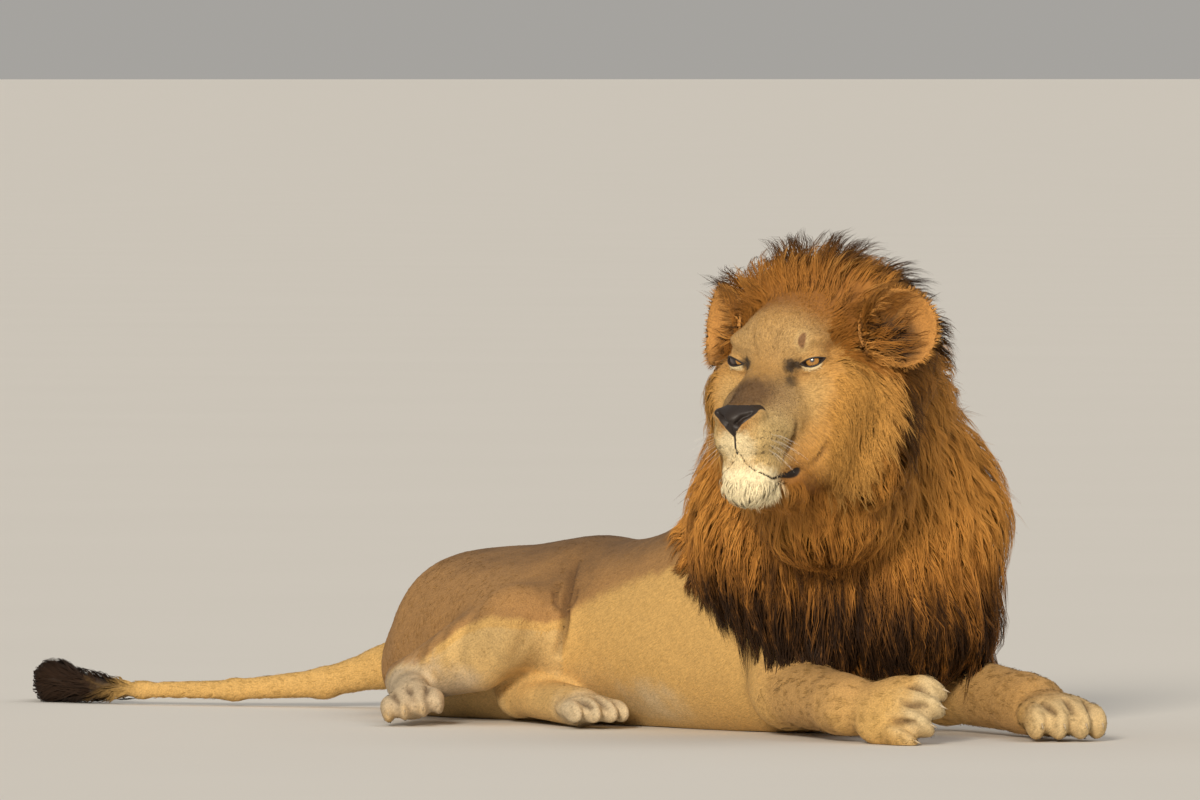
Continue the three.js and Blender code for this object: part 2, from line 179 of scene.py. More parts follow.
def along_line(points: Array, line: Array) -> tuple[Array, Array]:
    """How far points are from a line of places, and how far along it they lie.

    Args:
        points: places to measure from.
        line: the line's places in order.

    Returns:
        The distances, and shares of the line's length from 0 to 1.
    """
    lengths = np.linalg.norm(np.diff(line, axis=0), axis=1)
    starts = np.concatenate([[0.0], np.cumsum(lengths)])
    best = np.full(len(points), np.inf)
    share = np.zeros(len(points))
    for i, length in enumerate(lengths):
        way = (line[i + 1] - line[i]) / length
        t = np.clip((points - line[i]) @ way, 0.0, length)
        gap = np.linalg.norm(points - line[i] - t[:, None] * way, axis=1)
        nearer = gap < best
        best[nearer] = gap[nearer]
        share[nearer] = (starts[i] + t[nearer]) / starts[-1]
    return best, share


# ---- forms ----------------------------------------------------------------------------------

class Form(Protocol):
    """A shape that says how far outside it a place is."""

    def at(self, points: Array) -> Array:
        """Distances in millimetres, less than 0 inside."""

    def reach(self) -> tuple[Array, Array]:
        """The lowest and highest corners of a box that holds the shape."""


@dataclass(frozen=True)
class Limb:
    """A stretch that tapers from one ball to another."""

    a: Vec
    b: Vec
    ra: float
    rb: float

    def at(self, points: Array) -> Array:
        """Distances in millimetres, less than 0 inside.

        Args:
            points: places in the body's axes.

        Returns:
            One distance for each place.
        """
        a = np.array(self.a)
        way = np.array(self.b) - a
        t = np.clip((points - a) @ way / max(way @ way, 1e-9), 0.0, 1.0)
        gap = np.linalg.norm(points - a - t[:, None] * way, axis=1)
        return gap - (self.ra + t * (self.rb - self.ra))

    def reach(self) -> tuple[Array, Array]:
        """The lowest and highest corners of a box that holds the shape."""
        ends = np.array([self.a, self.b])
        return ends.min(0) - max(self.ra, self.rb), ends.max(0) + max(self.ra, self.rb)


def turned(yaw: float, pitch: float, roll: float) -> Array:
    """The axes of something rolled, then pitched, then yawed, in degrees.

    Args:
        yaw: the turn about Z.
        pitch: the turn about Y.
        roll: the turn about X.

    Returns:
        A matrix with the axes as its columns.
    """
    y, p, r = map(math.radians, (yaw, pitch, roll))
    about_z = np.array([[math.cos(y), -math.sin(y), 0], [math.sin(y), math.cos(y), 0], [0, 0, 1]])
    about_y = np.array([[math.cos(p), 0, math.sin(p)], [0, 1, 0], [-math.sin(p), 0, math.cos(p)]])
    about_x = np.array([[1, 0, 0], [0, math.cos(r), -math.sin(r)], [0, math.sin(r), math.cos(r)]])
    return about_z @ about_y @ about_x


@dataclass(frozen=True)
class Oval:
    """An oval with its own half lengths, turned by yaw, pitch and roll in degrees."""

    centre: Vec
    radii: Vec
    yaw: float = 0.0
    pitch: float = 0.0
    roll: float = 0.0

    def at(self, points: Array) -> Array:
        """Distances in millimetres, less than 0 inside.

        Args:
            points: places in the body's axes.

        Returns:
            One distance for each place.
        """
        radii = np.array(self.radii)
        local = (points - np.array(self.centre)) @ turned(self.yaw, self.pitch, self.roll)
        k0 = np.linalg.norm(local / radii, axis=1)
        k1 = np.maximum(np.linalg.norm(local / radii ** 2, axis=1), 1e-9)
        return k0 * (k0 - 1.0) / k1

    def reach(self) -> tuple[Array, Array]:
        """The lowest and highest corners of a box that holds the shape."""
        return np.array(self.centre) - max(self.radii), np.array(self.centre) + max(self.radii)


@dataclass(frozen=True)
class Cap:
    """A ball cut flat on the side that faces a direction, with a rounded rim."""

    centre: Vec
    facing: Vec
    radius: float
    rim: float
    rounding: float = 9.0

    def at(self, points: Array) -> Array:
        """Distances in millimetres, less than 0 inside.

        Args:
            points: places in the body's axes.

        Returns:
            One distance for each place.
        """
        local = points - np.array(self.centre)
        ball = np.linalg.norm(local, axis=1) - self.radius
        front = local @ np.array(self.facing) - self.rim
        return -smooth_least(-ball, -front, self.rounding)

    def reach(self) -> tuple[Array, Array]:
        """The lowest and highest corners of a box that holds the shape."""
        return np.array(self.centre) - self.radius, np.array(self.centre) + self.radius


@dataclass(frozen=True)
class Sections:
    """The trunk: oval sections that change smoothly along X.

    Each row is x, y, z of the middle, half width, half depth, and roll to the left in degrees.
    """

    rows: Line
    samples: int = 240
    end_share: float = 0.5

    def table(self) -> Array:
        """The rows, filled in along smooth curves.

        Returns:
            Rows at even steps of X.
        """
        rows = np.array(self.rows)
        x = np.linspace(rows[0, 0], rows[-1, 0], self.samples)
        slopes = np.gradient(rows, rows[:, 0], axis=0)
        i = np.clip(np.searchsorted(rows[:, 0], x, side="right") - 1, 0, len(rows) - 2)
        run = rows[i + 1, 0] - rows[i, 0]
        t = ((x - rows[i, 0]) / run)[:, None]
        filled = (rows[i] * (2 * t**3 - 3 * t**2 + 1) + rows[i + 1] * (3 * t**2 - 2 * t**3)
                  + run[:, None] * (slopes[i] * (t**3 - 2 * t**2 + t) + slopes[i + 1] * (t**3 - t**2)))
        filled[:, 0] = x
        return filled

    def at(self, points: Array) -> Array:
        """Distances in millimetres, less than 0 inside.

        Args:
            points: places in the body's axes.

        Returns:
            One distance for each place.
        """
        table = self.table()
        y, z, width, depth, roll = (np.interp(points[:, 0], table[:, 0], table[:, k])
                                    for k in range(1, 6))
        angle = np.radians(roll)
        dy, dz = points[:, 1] - y, points[:, 2] - z
        across = dy * np.cos(angle) - dz * np.sin(angle)
        along = dy * np.sin(angle) + dz * np.cos(angle)
        over = np.maximum(np.maximum(table[0, 0] - points[:, 0], points[:, 0] - table[-1, 0]), 0.0)
        small = np.minimum(width, depth)
        span = np.sqrt((across / width) ** 2 + (along / depth) ** 2
                       + (over / (self.end_share * small)) ** 2)
        return (span - 1.0) * small

    def reach(self) -> tuple[Array, Array]:
        """The lowest and highest corners of a box that holds the shape.

        Returns:
            The two corners.
        """
        rows = np.array(self.rows)
        most = rows[:, 3:5].max()
        return rows[:, :3].min(0) - most, rows[:, :3].max(0) + most


def paired(centre: Vec, radii: Vec, yaw: float = 0.0, pitch: float = 0.0,
           roll: float = 0.0) -> list[Oval]:
    """The same oval on both sides of the head."""
    return [Oval((centre[0], side * centre[1], centre[2]), radii, side * yaw, pitch, side * roll)
            for side in (-1.0, 1.0)]


def between(a: Vec, b: Vec, share: float) -> Vec:
    """The place at a share of the way from a to b."""
    return tuple(p + (q - p) * share for p, q in zip(a, b))


def plus(a: Vec, b: Vec) -> Vec:
    """Two places added."""
    return tuple(p + q for p, q in zip(a, b))


# ---- the parts of the body -------------------------------------------------------------------

class Space(Enum):
    """Whose axes a part's forms are in."""

    BODY = "body"
    HEAD = "head"


Lie = Callable[[Array], Array]


def towards(way: Vec) -> Lie:
    """A coat that lies one way all over a part."""
    direction = unit(np.array(way, dtype=float))
    return lambda points: np.broadcast_to(direction, points.shape)


@dataclass(frozen=True)
class FromFace:
    """The lie of the face and mane: away from the middle of the face, and hanging below it."""

    middle: Vec = (62.0, 0.0, -34.0)
    side_sink: float = 1.9
    low_sink: float = 2.2

    def __call__(self, points: Array) -> Array:
        """The directions at some places in the body's axes.

        Args:
            points: places in the body's axes.

        Returns:
            One direction for each place.
        """
        places = to_head(points)
        away = unit(points - from_head(np.array(self.middle)))
        side = ease(np.abs(places[:, 1]), 74.0, 130.0) * ease(-places[:, 2], -50.0, 40.0)
        low = ease(-places[:, 2], 40.0, 160.0) * ease(-places[:, 0], -40.0, 20.0)
        sink = np.maximum(self.side_sink * side, self.low_sink * low)
        return unit(away - sink[:, None] * UP)


@dataclass
class Part:
    """One part of the body, as forms that run into each other out to the tips of its coat."""

    name: str
    forms: list[Form]
    depth: float
    soft: float
    join: float
    lie: Lie
    space: Space = Space.BODY

    def __post_init__(self) -> None:
        """Works out the box outside which the part needs no measuring."""
        boxes = [form.reach() for form in self.forms]
        self.low = np.min([low for low, _ in boxes], axis=0) - CULL
        self.high = np.max([high for _, high in boxes], axis=0) + CULL

    def at(self, points: Array) -> Array:
        """Distances from the coat's surface, in millimetres.

        Args:
            points: places in the body's axes.

        Returns:
            One distance for each place, FAR where no form is near.
        """
        local = to_head(points) if self.space is Space.HEAD else points
        near = np.full(len(points), FAR)
        close = np.all((local > self.low) & (local < self.high), axis=1)
        if close.any():
            inner = local[close]
            value = self.forms[0].at(inner)
            for form in self.forms[1:]:
                value = smooth_least(value, form.at(inner), self.soft)
            near[close] = value
        return near


@dataclass(frozen=True)
class Trunk:
    """Back, chest and belly, rolled over to the left at the hips."""

    rows: Line = (
        (-655, 58, 102, 60, 62, 60), (-605, 52, 107, 74, 116, 60),
        (-510, 42, 117, 108, 146, 60), (-390, 28, 122, 128, 158, 58),
        (-250, 12, 129, 140, 160, 52), (-170, 5, 131, 146, 158, 46), (-90, 0, 130, 144, 152, 42),
        (60, 0, 140, 162, 160, 30), (210, 0, 180, 172, 200, 20),
        (360, 0, 212, 172, 222, 15), (480, 0, 210, 150, 190, 12),
        (560, 0, 200, 80, 110, 12))
    depth: float = 5.0

    def parts(self) -> list[Part]:
        """The trunk as one part."""
        return [Part("trunk", [Sections(self.rows)], self.depth, 0.0, 0.0,
                     towards((-1.0, 0.0, -0.42)))]


@dataclass(frozen=True)
class Fold:
    """A furrow in the skin: its line, its depth, its width, and how much painted shade darkens it from
    0 to 1.
    """

    line: Line
    depth: float
    width: float
    # How much painted shade darkens the furrow's colour.
    dark: float


@dataclass(frozen=True)
class Paw:
    """A pad with four toes, from its heel to its toe tips.

    The pad's and the toes' half sizes are shares of the paw's length, width and height.
    """

    heel: Vec
    toes: Vec
    width: float
    height: float
    roll: float
    pad_middle: float = 0.44
    pad: Vec = (0.46, 0.48, 0.47)
    spread: tuple[float, ...] = (-0.36, -0.13, 0.13, 0.36)
    toe_steps: tuple[float, ...] = (-44.0, -30.0, -30.0, -44.0)
    toe_length: float = 34.0
    toe_width: float = 0.138
    toe_height: float = 0.37
    toe_dip: float = 8.0
    gap_height: float = 0.36
    gap_behind: float = 22.0
    gap_ahead: float = 30.0
    gap_drop: float = 12.0
    gap_depth: float = 8.0
    gap_width: float = 4.4
    # Painted shade in the furrows between the toes.
    gap_shade: float = 0.8

    def axes(self) -> tuple[Array, float]:
        """The paw's own axes, and its yaw in degrees.

        Returns:
            The axes as a matrix's columns, and the yaw.
        """
        ahead = np.array(self.toes) - np.array(self.heel)
        yaw = math.degrees(math.atan2(ahead[1], ahead[0]))
        return turned(yaw, 0.0, self.roll), yaw

    def toe_middles(self) -> list[Array]:
        """The middle of each toe.

        Returns:
            One place for each toe.
        """
        axes, _ = self.axes()
        return [np.array(self.toes) + axes[:, 1] * share * self.width + axes[:, 0] * step
                for share, step in zip(self.spread, self.toe_steps)]

    def gaps(self) -> list[Fold]:
        """The furrow over the paw between each two toes, darkened by painted shade.

        Returns:
            One fold for each furrow.
        """
        axes, _ = self.axes()
        toes = self.toe_middles()
        made = []
        for one, other in zip(toes, toes[1:]):
            top = (one + other) / 2 + axes[:, 2] * self.height * self.gap_height
            hind = top - axes[:, 0] * self.gap_behind
            front = top + axes[:, 0] * self.gap_ahead - axes[:, 2] * self.gap_drop
            made.append(Fold((tuple(hind), tuple(top), tuple(front)), self.gap_depth,
                             self.gap_width, self.gap_shade))
        return made

    def forms(self) -> list[Form]:
        """The pad and the toes.

        Returns:
            The forms, the pad's first.
        """
        _, yaw = self.axes()
        reach = float(np.linalg.norm(np.array(self.toes) - np.array(self.heel)))
        long, wide, high = self.pad
        toe = (self.toe_length, self.width * self.toe_width, self.height * self.toe_height)
        return [Oval(between(self.heel, self.toes, self.pad_middle),
                     (reach * long, self.width * wide, self.height * high), yaw, 0.0, self.roll),
                *[Oval(tuple(middle), toe, yaw, self.toe_dip, self.roll)
                  for middle in self.toe_middles()]]


@dataclass(frozen=True)
class Foreleg:
    """One foreleg, folded at the elbow, with its forearm along the ground."""

    side: str
    shoulder: Vec
    elbow: Vec
    wrist: Vec
    toes: Vec
    roll: float
    height: float
    width: float = 128.0

    def paw(self) -> Paw:
        """The leg's paw."""
        return Paw(between(self.wrist, self.toes, 0.12), self.toes, self.width, self.height,
                   self.roll)

    def parts(self) -> list[Part]:
        """Upper arm, and forearm with its paw.

        Returns:
            The parts, in the order that they join.
        """
        ahead = tuple(np.array(self.toes) - np.array(self.elbow))
        down = tuple(np.array(self.elbow) - np.array(self.shoulder))
        return [
            Part(f"upper_arm_{self.side}", [Limb(self.shoulder, self.elbow, 62, 60)], 6.0, 0.0,
                 30.0, towards(down)),
            Part(f"foreleg_{self.side}", [
                Limb(self.elbow, self.wrist, 56, 46),
                Limb(between(self.elbow, self.wrist, 0.85), between(self.wrist, self.toes, 0.4),
                     46, 0.44 * self.height), *self.paw().forms()],
                 4.0, 13.0, 22.0, towards(ahead))]


@dataclass(frozen=True)
class Hindleg:
    """One hind leg, folded, with its foot flat on the ground."""

    side: str
    hip: Vec
    knee: Vec
    hock: Vec
    toes: Vec
    seat: Vec
    thigh: tuple[float, float]
    roll: float
    height: float
    width: float = 104.0

    def paw(self) -> Paw:
        """The leg's paw."""
        return Paw(between(self.hock, self.toes, 0.58), self.toes, self.width, self.height,
                   self.roll)

    def parts(self) -> list[Part]:
        """Thigh, shank, and foot with its paw.

        Returns:
            The parts, in the order that they join.
        """
        sign = SIDES[self.side]
        inside = plus(self.knee, (0.0, -14.0 * sign, 14.0))
        outside = plus(self.knee, (0.0, 10.0 * sign, -6.0))
        calf = plus(between(outside, self.hock, 0.3), (0.0, 0.0, -6.0))
        ankle = between(self.hock, self.toes, 0.7)
        down = tuple(np.array(self.hock) - np.array(outside))
        ahead = tuple(np.array(self.toes) - np.array(self.hock))
        return [
            Part(f"thigh_{self.side}",
                 [Limb(self.hip, inside, *self.thigh),
                  Limb(self.seat, between(self.seat, inside, 0.5), 66, 56)],
                 5.0, 60.0, 78.0, towards((0.35, 0.25 * sign, -1.0))),
            Part(f"shank_{self.side}", [Limb(outside, self.hock, 56, 34),
                                        Limb(calf, self.hock, 60, 27)], 5.0, 30.0, 16.0,
                 towards(down)),
            Part(f"foot_{self.side}", [Limb(self.hock, ankle, 36, 34), *self.paw().forms()],
                 5.0, 10.0, 14.0, towards(ahead))]


@dataclass(frozen=True)
class Tail:
    """The tail along the ground, with a tuft at its end."""

    spine: tuple[Vec, ...] = (
        (-590, 62, 112), (-690, 74, 96), (-775, 58, 62), (-860, 12, 37),
        (-980, -70, 25), (-1110, -150, 23), (-1235, -182, 24), (-1370, -140, 26))
    thickness: tuple[float, ...] = (46, 43, 36, 28, 21, 18, 18, 12)
    tuft_from: int = 5

    def parts(self) -> list[Part]:
        """The tail and its tuft.

        Returns:
            The parts, in the order that they join.
        """
        limbs = [Limb(self.spine[i], self.spine[i + 1], self.thickness[i], self.thickness[i + 1])
                 for i in range(len(self.spine) - 1)]
        middle = (-1280.0, -184.0, 30.0)
        tuft = [Limb((-1190.0, -178.0, 26.0), middle, 20, 32), Limb(middle, self.spine[7], 32, 12)]
        return [
            Part("tail", limbs[:self.tuft_from], 6.0, 14.0, 24.0, towards((-1.0, -0.55, -0.1))),
            Part("tuft", [limbs[5], *tuft], 7.0, 14.0, 14.0, towards((-1.0, 0.12, -0.05)))]


@dataclass(frozen=True)
class Mane:
    """The mane over neck, shoulders and chest."""

    depth: float = 42.0

    def parts(self) -> list[Part]:
        """The mane as one part.

        Returns:
            A list of that one part.
        """
        return [Part("mane", [
            Oval((430, 0, 300), (222, 252, 212)),
            Limb((600, -150, 560), (430, 0, 330), 150, 212),
            Oval((455, 22, 172), (188, 204, 128)),
            Limb((560, -110, 540), (300, 8, 340), 130, 140),
            Oval((620, -200, 380), (120, 140, 130))], self.depth, 50.0, 26.0, FromFace())]


@dataclass(frozen=True)
class Ear:
    """One ear: an open cup standing in the mane, its rim up, out and forward."""

    side: str
    ahead: float = -93.0
    spread: float = 152.0
    up: float = 48.0
    radius: float = 60.0
    cup_radius: float = 54.0
    cup_depth: float = 44.0
    opening: float = 15.0
    mouth: Vec = (0.64, 0.76, 0.1)

    def centre(self) -> Array:
        """The middle of the ear's mouth, on the head."""
        return np.array([self.ahead, SIDES[self.side] * self.spread, self.up])

    def facing(self) -> Array:
        """The way that the ear's mouth looks, on the head."""
        x, y, z = self.mouth
        return unit(np.array([x, SIDES[self.side] * y, z]))

    def parts(self) -> list[Part]:
        """The ear as a solid cap, which cup() hollows.

        Returns:
            A list of that one part.
        """
        way = tuple(HEAD_AXES @ self.facing())
        return [Part(f"ear_{self.side}",
                     [Cap(tuple(self.centre()), tuple(self.facing()), self.radius, 2.0, 7.0)],
                     2.0, 0.0, 9.0, towards(way), Space.HEAD)]

    def across(self, places: Array) -> tuple[Array, Array]:
        """How far places are from the axis of the ear's mouth, and how far in front of it.

        Args:
            places: places in the head's axes.

        Returns:
            The two distances for each place.
        """
        local = places - self.centre()
        ahead = local @ self.facing()
        return np.linalg.norm(local - ahead[:, None] * self.facing(), axis=1), ahead

    def cup(self, places: Array) -> Array:
        """How far skin on the ear's front sinks into its cup, as head vectors.

        Args:
            places: the skin's places on the head.

        Returns:
            One vector for each place.
        """
        out, ahead = self.across(places)
        inner = ease(self.spread - SIDES[self.side] * places[:, 1], 6.0, 38.0)
        wide = self.cup_radius + self.opening * inner
        bowl = np.clip(1.0 - (out / wide) ** 2, 0.0, 1.0) ** 0.7
        front = np.where(inner > 0.0, ease(ahead, -22.0, -7.0), ahead > -9.0)
        sunk = self.cup_depth * bowl * front * (ahead < self.radius)
        return -sunk[:, None] * self.facing()


@dataclass(frozen=True)
class Face:
    """The face and the crown behind it, with the folds, lids, lips and nostrils of the skin."""

    lid: float = 2.3
    slit_half: float = 15.2
    upper: float = 3.1
    lower: float = 5.0
    lid_rim: float = 1.1
    lid_crease: float = 1.7
    eye_bag: float = 1.1
    eye_sink: float = 10.0
    lip_depth: float = 5.0
    mouth: Line = (
        (138, 0, -129), (131, 12, -143), (118, 26, -155), (93, 40, -166), (62, 52, -172),
        (32, 60, -168))
    nostril: Line = ((145, 8, -88), (140, 15, -79), (131, 27, -74))
    # Each crease's last number is the painted shade that darkens its colour.
    creases: tuple[Fold, ...] = (
        Fold(((58, 60, -80), (50, 60, -104), (50, 60, -128), (60, 56, -144)), 7.0, 4.6, 0.5),
        Fold(((4, 80, -112), (12, 74, -132), (24, 64, -158)), 7.0, 4.6, 0.45),
        Fold(((18, 22, 56), (28, 14, 26), (34, 8, 0)), 2.6, 4.6, 0.15),
        Fold(((26, 40, -16), (28, 56, -20), (14, 76, -16)), 1.3, 2.6, 0.2))
    nostril_depth: float = 9.0
    nostril_width: float = 4.2
    pad_half: float = 35.0
    pad_top: float = -61.0
    pad_foot: float = -112.0

    def parts(self) -> list[Part]:
        """Crown, face, lids and nose.

        Returns:
            The parts, in the order that they join.
        """
        lie = FromFace()
        eyes = [(0.0, side * EYE_SPREAD, 0.0) for side in SIDES.values()]
        ball = EYE_RADIUS + self.lid
        return [
            Part("crown", [
                Oval((-178, 0, 14), (88, 172, 146)), Oval((-126, 0, 88), (76, 156, 82)),
                *paired((-118, 96, -88), (70, 76, 124)), Oval((-110, 0, -150), (86, 108, 84)),
                Oval((-8, 0, -172), (96, 74, 52))], 32.0, 40.0, 36.0, lie, Space.HEAD),
            Part("face", [
                Oval((-110, 0, 20), (122, 96, 90)), Oval((-28, 0, 26), (76, 68, 60)),
                Limb((0, 0, -22), (104, 0, -84), 46, 34), Oval((118, 0, -82), (32, 31, 24), 0, 20),
                *paired((88, 25, -104), (49, 27, 36), 0, 12), Oval((110, 0, -122), (25, 16, 20)),
                *paired((38, 36, -74), (56, 34, 40), -14, 20),
                *paired((-6, 50, 26), (34, 30, 18), 0, 0, 14),
                *paired((-52, 74, -56), (80, 58, 70)), *paired((-42, 56, -116), (78, 50, 62)),
                Limb((-40, 0, -130), (78, 0, -150), 54, 42), Oval((95, 0, -168), (33, 40, 36))],
                 4.0, 20.0, 18.0, lie, Space.HEAD),
            Part("lids", [Limb(eye, eye, ball, ball) for eye in eyes], 0.0, 0.0, 9.0, lie,
                 Space.HEAD),
            Part("nose", [Oval((128, 0, -80), (22, 24, 17), 0, 14),
                          *paired((119, 27, -76), (18, 15, 12))], 1.0, 12.0, 6.0, lie, Space.HEAD)]

    @staticmethod
    def eye_axes(sign: float) -> tuple[Array, Array, Array]:
        """The way an eye's slit looks, the way to its outer corner, and its upright.

        Args:
            sign: -1 for the right eye, 1 for the left.

        Returns:
            The three directions, in the head's axes.
        """
        ahead = np.array([math.cos(EYE_YAW), sign * math.sin(EYE_YAW), 0.0])
        out = np.array([-math.sin(EYE_YAW), sign * math.cos(EYE_YAW), 0.0])
        across = out * math.cos(EYE_TILT) + UP * math.sin(EYE_TILT)
        return ahead, across, UP * math.cos(EYE_TILT) - out * math.sin(EYE_TILT)

    def slit(self, places: Array, sign: float) -> tuple[Array, Array, Array, Array]:
        """Where places lie about one eye's slit.

        Args:
            places: the skin's places on the head.
            sign: -1 for the right eye, 1 for the left.

        Returns:
            Millimetres inside the slit's edge, above the upper lid's edge, and below the
            lower lid's, and how far a place is in the strip under the eye. Places not near
            the eye are far outside.
        """
        ahead, across, up = self.eye_axes(sign)
        local = places - np.array([0.0, sign * EYE_SPREAD, 0.0])
        u, w = local @ across, local @ up
        bow = 1.0 - (u / self.slit_half) ** 2
        shown = ease(-np.abs(u + 2.0), -17.0, -12.0) * (w < 0.0)
        above = w - self.upper * bow
        below = -w - self.lower * bow
        close = (local @ ahead > 2.0) & (np.abs(u) < 30.0) & (np.abs(w) < 30.0)
        inside = np.where(close, np.minimum(-above, -below), -99.0)
        strip = shown * ease(below, 1.0, 2.0) * ease(-below, -9.0 + 0.15 * u, -6.5 + 0.15 * u)
        return inside, np.where(close, above, 99.0), np.where(close, below, 99.0), strip * close

    @staticmethod
    def near_line(places: Array, line: Line, body: "Body") -> tuple[Array, Array]:
        """How places lie to a line that is first laid on the skin, on both sides of the face.

        Args:
            places: places in the head's axes.
            line: the line's places on the left.
            body: the body whose skin it is laid on.

        Returns:
            How far places are from the line, and their shares of its length.
        """
        marks = np.array(line, dtype=float)
        fine = np.linspace(0.0, len(marks) - 1.0, 6 * len(marks))
        marks = np.stack([np.interp(fine, np.arange(len(marks)), marks[:, k])
                          for k in range(3)], 1)
        marks = to_head(body.settle(from_head(marks), 6))
        marks[:, 1] = np.maximum(marks[:, 1], 0.0)
        return along_line(one_sided(places), marks)

    def lids(self, places: Array, normals: Array, sign: float) -> tuple[Array, Array, Array]:
        """How one eye's lids shape the skin.

        Args:
            places: the skin's places on the head.
            normals: the way out of the skin at each, in the head's axes.
            sign: -1 for the right eye, 1 for the left.

        Returns:
            A shift for each place, its bareness, and how far it is in the strip under the eye.
        """
        inside, above, below, strip = self.slit(places, sign)
        opened = ease(inside, -0.4, 0.9)
        rim = self.lid_rim * bell(inside + 1.8, 1.5)
        crease = self.lid_crease * bell(above - 8.0, 1.9) * ease(-np.abs(above), -20.0, -8.0)
        bag = self.eye_bag * bell(below - 9.0, 1.8)
        sunk = (opened * self.eye_sink)[:, None] * self.eye_axes(sign)[0]
        return (normals * (rim - crease - bag)[:, None] - sunk,
                np.maximum(opened, bell(inside + 1.2, 2.1)), strip)

    def nose(self, places: Array, body: "Body") -> tuple[Array, Array]:
        """The nostrils, the furrow between them, and the bare pad.

        Args:
            places: the skin's places on the head.
            body: the body, whose skin the nostrils are laid on.

        Returns:
            How deep each place sinks, and its bareness.
        """
        gap, share = self.near_line(places, self.nostril, body)
        hole = bell(gap, self.nostril_width - 1.8 * share)
        middle = (places[:, 0] > 110) & (places[:, 2] < -84) & (places[:, 2] > -133)
        furrow = middle * bell(places[:, 1], 1.9)
        half = self.pad_half * np.clip((places[:, 2] - self.pad_foot) / 40.0, 0.0, 1.0) ** 1.4
        pad = ease(half - np.abs(places[:, 1]), -1.2, 2.0)
        pad *= ease(self.pad_top - places[:, 2], -2.0, 2.0)
        pad *= (places[:, 0] > 104.0) * (places[:, 2] > self.pad_foot + 1.0)
        bare = np.maximum(pad, np.maximum(0.9 * furrow, bell(gap, 6.0)))
        return self.nostril_depth * hole * (1.0 - 0.55 * share) + 2.8 * furrow, bare

    def detail(self, places: Array, normals: Array,
               body: "Body") -> tuple[Array, Array, Array]:
        """The skin's own folds, and where it is bare.

        Args:
            places: the skin's places on the head.
            normals: the way out of the skin at each, in the head's axes.
            body: the body, whose skin the folds' lines are laid on.

        Returns:
            A shift for each place, in the head's axes, its bareness from 0 to 1, and its tone: 1 in
            the pale strip under an eye, less than 0 where painted shade darkens a fold.
        """
        shift = np.zeros_like(places)
        bare, tone = np.zeros((2, len(places)))
        for sign in SIDES.values():
            moved, lid, strip = self.lids(places, normals, sign)
            shift += moved
            bare, tone = np.maximum(bare, lid), np.maximum(tone, strip)
        gap, share = self.near_line(places, self.mouth, body)
        lip = bell(gap, 1.3 + 6.4 * share ** 3)
        sink = self.lip_depth * lip
        bare = np.maximum(bare, (0.62 + 0.38 * share) * lip)
        for fold in self.creases:
            gap, share = self.near_line(places, fold.line, body)
            fade = np.sin(math.pi * np.clip(share, 0.02, 0.98)) ** 0.5 * bell(gap, fold.width)
            sink = sink + fold.depth * fade
            # Painted shade darkens the crease's colour.
            tone = tone - fold.dark * fade * (1.0 - tone)
        deep, wet = self.nose(places, body)
        sink, bare = sink + deep, np.maximum(bare, wet)
        return shift - normals * sink[:, None], np.clip(bare, 0.0, 1.0), tone


# ---- the body as a whole ---------------------------------------------------------------------

@dataclass
class Body:
    """All parts of the body, read together."""

    parts: list[Part]
    lie_share: float = 16.0

    def read(self, points: Array) -> Array:
        """Each part's distance from its coat's surface, one row for each part."""
        return np.array([part.at(points) for part in self.parts])

    def joined(self, rows: Array, depth_share: float) -> Array:
        """The distance from the whole, at a share of the coat's depth under its surface.

        Args:
            rows: each part's distances.
            depth_share: that share.

        Returns:
            One distance for each place.
        """
        value = rows[0] + depth_share * self.parts[0].depth
        for part, row in zip(self.parts[1:], rows[1:]):
            value = smooth_least(value, row + depth_share * part.depth, part.join)
        return value

    def skin(self, points: Array) -> Array:
        """Distance from the skin, which rests on the floor."""
        return np.maximum(self.joined(self.read(points), 1.0), FLOOR_REST - points[:, 2])

    def slope(self, points: Array, depth_share: float, step: float = 0.6) -> tuple[Array, Array]:
        """Distances from a level in the coat, and the way that they grow.

        Args:
            points: places in the body's axes.
            depth_share: 1 for the skin, 0 for the coat's surface.
            step: how far apart the readings are taken.

        Returns:
            Distances, and unit vectors.
        """
        here = self.joined(self.read(points), depth_share)
        moved = [self.joined(self.read(points + step * axis), depth_share) for axis in np.eye(3)]
        return here, unit((np.array(moved) - here).T)

    def settle(self, points: Array, steps: int = 2) -> Array:
        """Points brought onto the skin.

        Args:
            points: places near the skin.
            steps: how many steps to take.

        Returns:
            The places after the last step.
        """
        for _ in range(steps):
            here, way = self.slope(points, 1.0)
            points = points - way * np.clip(here, -8.0, 8.0)[:, None]
        points[:, 2] = np.maximum(points[:, 2], FLOOR_REST)
        return points

    def own(self, points: Array) -> Array:
        """Each part's distance from its skin, one row for each part."""
        return self.read(points) + np.array([part.depth for part in self.parts])[:, None]

    def area(self, points: Array) -> Array:
        """The number of the part that each place belongs to."""
        return np.argmin(self.own(points), axis=0)

    def holds(self, areas: Array, *starts: str) -> Array:
        """Which part numbers are of parts whose names start in one of some ways."""
        numbers = [i for i, part in enumerate(self.parts) if part.name.startswith(starts)]
        return np.isin(areas, numbers)

    def lie(self, points: Array) -> Array:
        """The way that the coat lies, run together between parts.

        Args:
            points: places in the body's axes.

        Returns:
            One direction for each place.
        """
        rows = self.own(points)
        weights = np.exp(-np.clip(rows - rows.min(0), 0.0, 200.0) / self.lie_share)
        total = np.zeros_like(points)
        for part, weight in zip(self.parts, weights):
            total += weight[:, None] * part.lie(points)
        return unit(total)


# ---- meshes ----------------------------------------------------------------------------------

CORNERS = np.array([[i, j, k] for i in (0, 1) for j in (0, 1) for k in (0, 1)])
EDGES = [(a, b) for a in range(8) for b in range(a + 1, 8)
         if np.abs(CORNERS[a] - CORNERS[b]).sum() == 1]


